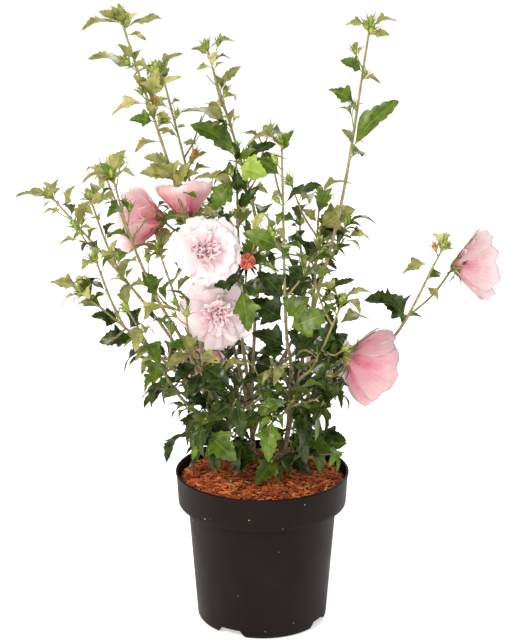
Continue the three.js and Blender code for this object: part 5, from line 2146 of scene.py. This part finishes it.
@dataclass
class Mulch:
    """Potting mix under a layer of shredded bark."""

    ground: float = 200
    edge_drop: float = 5
    edge: float = 111.2
    flat: float = 72
    chips: int = 2600
    lump: float = 1.5
    rings: int = 26
    columns: int = 72

    def mound(self, radius: Array) -> Array:
        """The height of the mix at a radius: flat in the middle, lower towards the wall."""
        return self.ground - self.edge_drop * np.clip((radius - self.flat) / (self.edge - self.flat), 0, 1)

    def bed(self) -> Shape:
        """The mix itself: the pot's inside, with a lumpy top.

        Returns:
            The closed mix.
        """
        side = [(29.7, 2.7), (34.7, 13.7), (85.6, 13.7), (97.2, 166.6), (109.7, 166.8),
                (self.edge - 0.6, 192)]
        top = np.linspace(self.edge - 0.6, 2, self.rings)
        radius = np.array([r for r, _ in side] + list(top))[:, None]
        height = np.array([h for _, h in side] + list(self.mound(top)))[:, None]
        u, v = np.meshgrid(np.arange(self.columns) / self.columns, np.arange(len(radius)) * 0.8)
        lumps = self.lump * lattice_noise(u, v, 5, 36) * (np.arange(len(radius)) > len(side))[:, None]
        grid = polar(radius, round_angles(self.columns), height + lumps - self.lump * (lumps != 0))
        return grid_shape(grid, closed=True, capped=True, flip=True)

    def shreds(self, count: int, seed: int, long: tuple[float, float], wide: tuple[float, float]) -> Shape:
        """Split pieces of bark that lie on the mix.

        A shred is a flat four-sided rod of four rings, bent and twisted a little, narrow at its
        ends, turned at random about the vertical and tipped by up to a fifth of a right angle.

        Args:
            count: How many.
            seed: Seed of their places.
            long: Shortest and longest length.
            wide: Narrowest and widest width.

        Returns:
            All the shreds as one shape.
        """
        pick = np.random.default_rng(seed)
        length = pick.uniform(*long, count) * pick.uniform(0.6, 1, count)
        width, thick = pick.uniform(*wide, count), pick.uniform(0.6, 1.5, count)
        radius = np.sqrt(pick.uniform(0, 1, count)) * (self.edge - 2)
        radius = np.minimum(radius, self.edge - 2.5 - 0.45 * length)
        bearing, yaw = pick.uniform(0, TURN, count), pick.uniform(0, TURN, count)
        pitch, bend = pick.uniform(-0.3, 0.3, count), pick.uniform(-0.12, 0.12, count)
        share = np.linspace(-0.5, 0.5, 4)
        along = np.stack([np.cos(yaw) * np.cos(pitch), np.sin(yaw) * np.cos(pitch), np.sin(pitch)], 1)
        across = np.stack([-np.sin(yaw), np.cos(yaw), 0 * yaw], 1)
        roll = pick.uniform(-0.7, 0.7, count)[:, None]
        over = np.cross(along, across)
        across, over = (across * np.cos(roll) + over * np.sin(roll),
                        over * np.cos(roll) - across * np.sin(roll))
        centre = polar(radius, bearing, self.mound(radius) + pick.uniform(-1.2, 2.6, count))
        spine = centre[:, None] + along[:, None] * (share * length[:, None])[..., None]
        spine = spine + across[:, None] * ((share**2 * 4) * (bend * length)[:, None])[..., None]
        taper = np.array([0.35, 1.0, 0.9, 0.3])
        corner = np.array([(1, 1), (-1, 1), (-1, -1), (1, -1)]) * 0.5
        sides = corner[None, None, :, :1] * (across * width[:, None])[:, None, None]
        ups = corner[None, None, :, 1:] * (over * thick[:, None])[:, None, None]
        grid = spine[:, :, None] + (sides + ups) * taper[None, :, None, None]
        template = grid_shape(np.zeros((4, 4, 3)), closed=True, capped=True, flip=True)
        flat = grid.reshape(count, 16, 3)
        ends = np.stack([grid[:, 0].mean(1), grid[:, -1].mean(1)], 1)
        return template.stamped(np.concatenate([flat, ends], 1))

    def build(self) -> None:
        """Makes the bed and the shreds in four tints."""
        mix = BarkChipFinish("bark_fines", 0x7E3E20, 0x4A2414).make()
        place(make_object("mix_bed", self.bed(), mix, 60), ["potting_mix"])
        tints = (("rust", 0xE4743A, 0xA94620, 0.38), ("orange", 0xF59A50, 0xC8662C, 0.22),
                 ("brown", 0xB4562A, 0x763617, 0.3), ("straw", 0xF0B678, 0xC8803E, 0.1))
        for number, (name, fibre, shadow, share) in enumerate(tints):
            count = round(self.chips * share)
            shreds = Shape.joined([
                self.shreds(round(count * 0.7), 40 + number, (7, 17), (1.0, 2.6)),
                self.shreds(round(count * 0.3), 60 + number, (9, 26), (2.4, 5.5))])
            finish = BarkChipFinish(f"shredded_bark_{name}", fibre, shadow).make()
            place(make_object(f"bark_shreds_{name}", shreds, finish, 40))


# Studio


@dataclass
class Studio:
    """Camera, paper and soft light of the photograph."""

    sensor_mm: float = 36
    floor_reach: float = 14000
    sky: float = 0.6

    def camera(self) -> None:
        """Sets the camera as the photograph's.

        The lens is the focal length in pixels over the picture's height, times the sensor's long side.
        """
        data = bpy.data.cameras.new("camera")
        data.sensor_width = self.sensor_mm
        data.lens = VIEW.focal_px / IMAGE_HEIGHT * self.sensor_mm
        made = bpy.data.objects.new("camera", data)
        made.location = Vector(VIEW.eye) * MM
        made.rotation_euler = (math.radians(90 - VIEW.pitch_deg), 0, 0)
        bpy.context.scene.collection.objects.link(made)
        bpy.context.scene.camera = made

    def area_light(self, name: str, place_at: tuple[float, float, float], aim: tuple[float, float, float],
                   size: float, watts: float, colour: int = 0xFFFFFF) -> None:
        """Adds a square soft light that faces a point.

        Args:
            name: Its name.
            place_at: Where it hangs, in metres.
            aim: The point that it faces.
            size: Its side.
            watts: Its power.
            colour: Its sRGB hex colour.
        """
        data = bpy.data.lights.new(name, "AREA")
        data.size, data.energy, data.color = size, watts, linear(colour)[:3]
        made = bpy.data.objects.new(name, data)
        made.location = place_at
        away = Vector(place_at) - Vector(aim)
        made.rotation_euler = away.to_track_quat("Z", "Y").to_euler()
        bpy.context.scene.collection.objects.link(made)

    def build(self) -> None:
        """Lays the paper floor and sets the lights and the white surroundings."""
        span = np.linspace(-self.floor_reach, self.floor_reach, 15)
        x, y = np.meshgrid(span, span, indexing="ij")
        floor = make_object("floor", grid_shape(np.stack([x, y, 0 * x], -1)), PaperFinish().make())
        middle = (0.0, 0.0, 0.4)
        self.area_light("key", (-1.6, -1.9, 2.4), middle, 1.0, 66, 0xFFF4E8)
        self.area_light("front", (-0.5, -2.6, 0.9), middle, 1.4, 18, 0xFFFAF4)
        self.area_light("fill", (2.2, -1.7, 1.5), middle, 1.8, 2, 0xFFFCF6)
        self.area_light("back", (0.6, 2.2, 2.4), middle, 1.6, 40)
        world = bpy.data.worlds.new("surroundings")
        world.use_nodes = True
        world.node_tree.nodes["Background"].inputs["Color"].default_value = linear(0xFFFFFF)
        world.node_tree.nodes["Background"].inputs["Strength"].default_value = self.sky
        bpy.context.scene.world = world
        bpy.context.scene.view_settings.view_transform = "Standard"


def main() -> None:
    """Builds the studio and the plant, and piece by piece."""
    logging.basicConfig(level=logging.INFO, format="%(message)s")
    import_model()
    studio = Studio()
    studio.camera()
    studio.build()
    rule = GrowingRule()
    rule.grow()
    NurseryPot().build()
    Mulch().build()
    Wood(rule).build()
    foliage = Foliage(rule)
    foliage.grow()
    foliage.build()
    Flowering(rule).build()


if __name__ == "__main__":
    main()
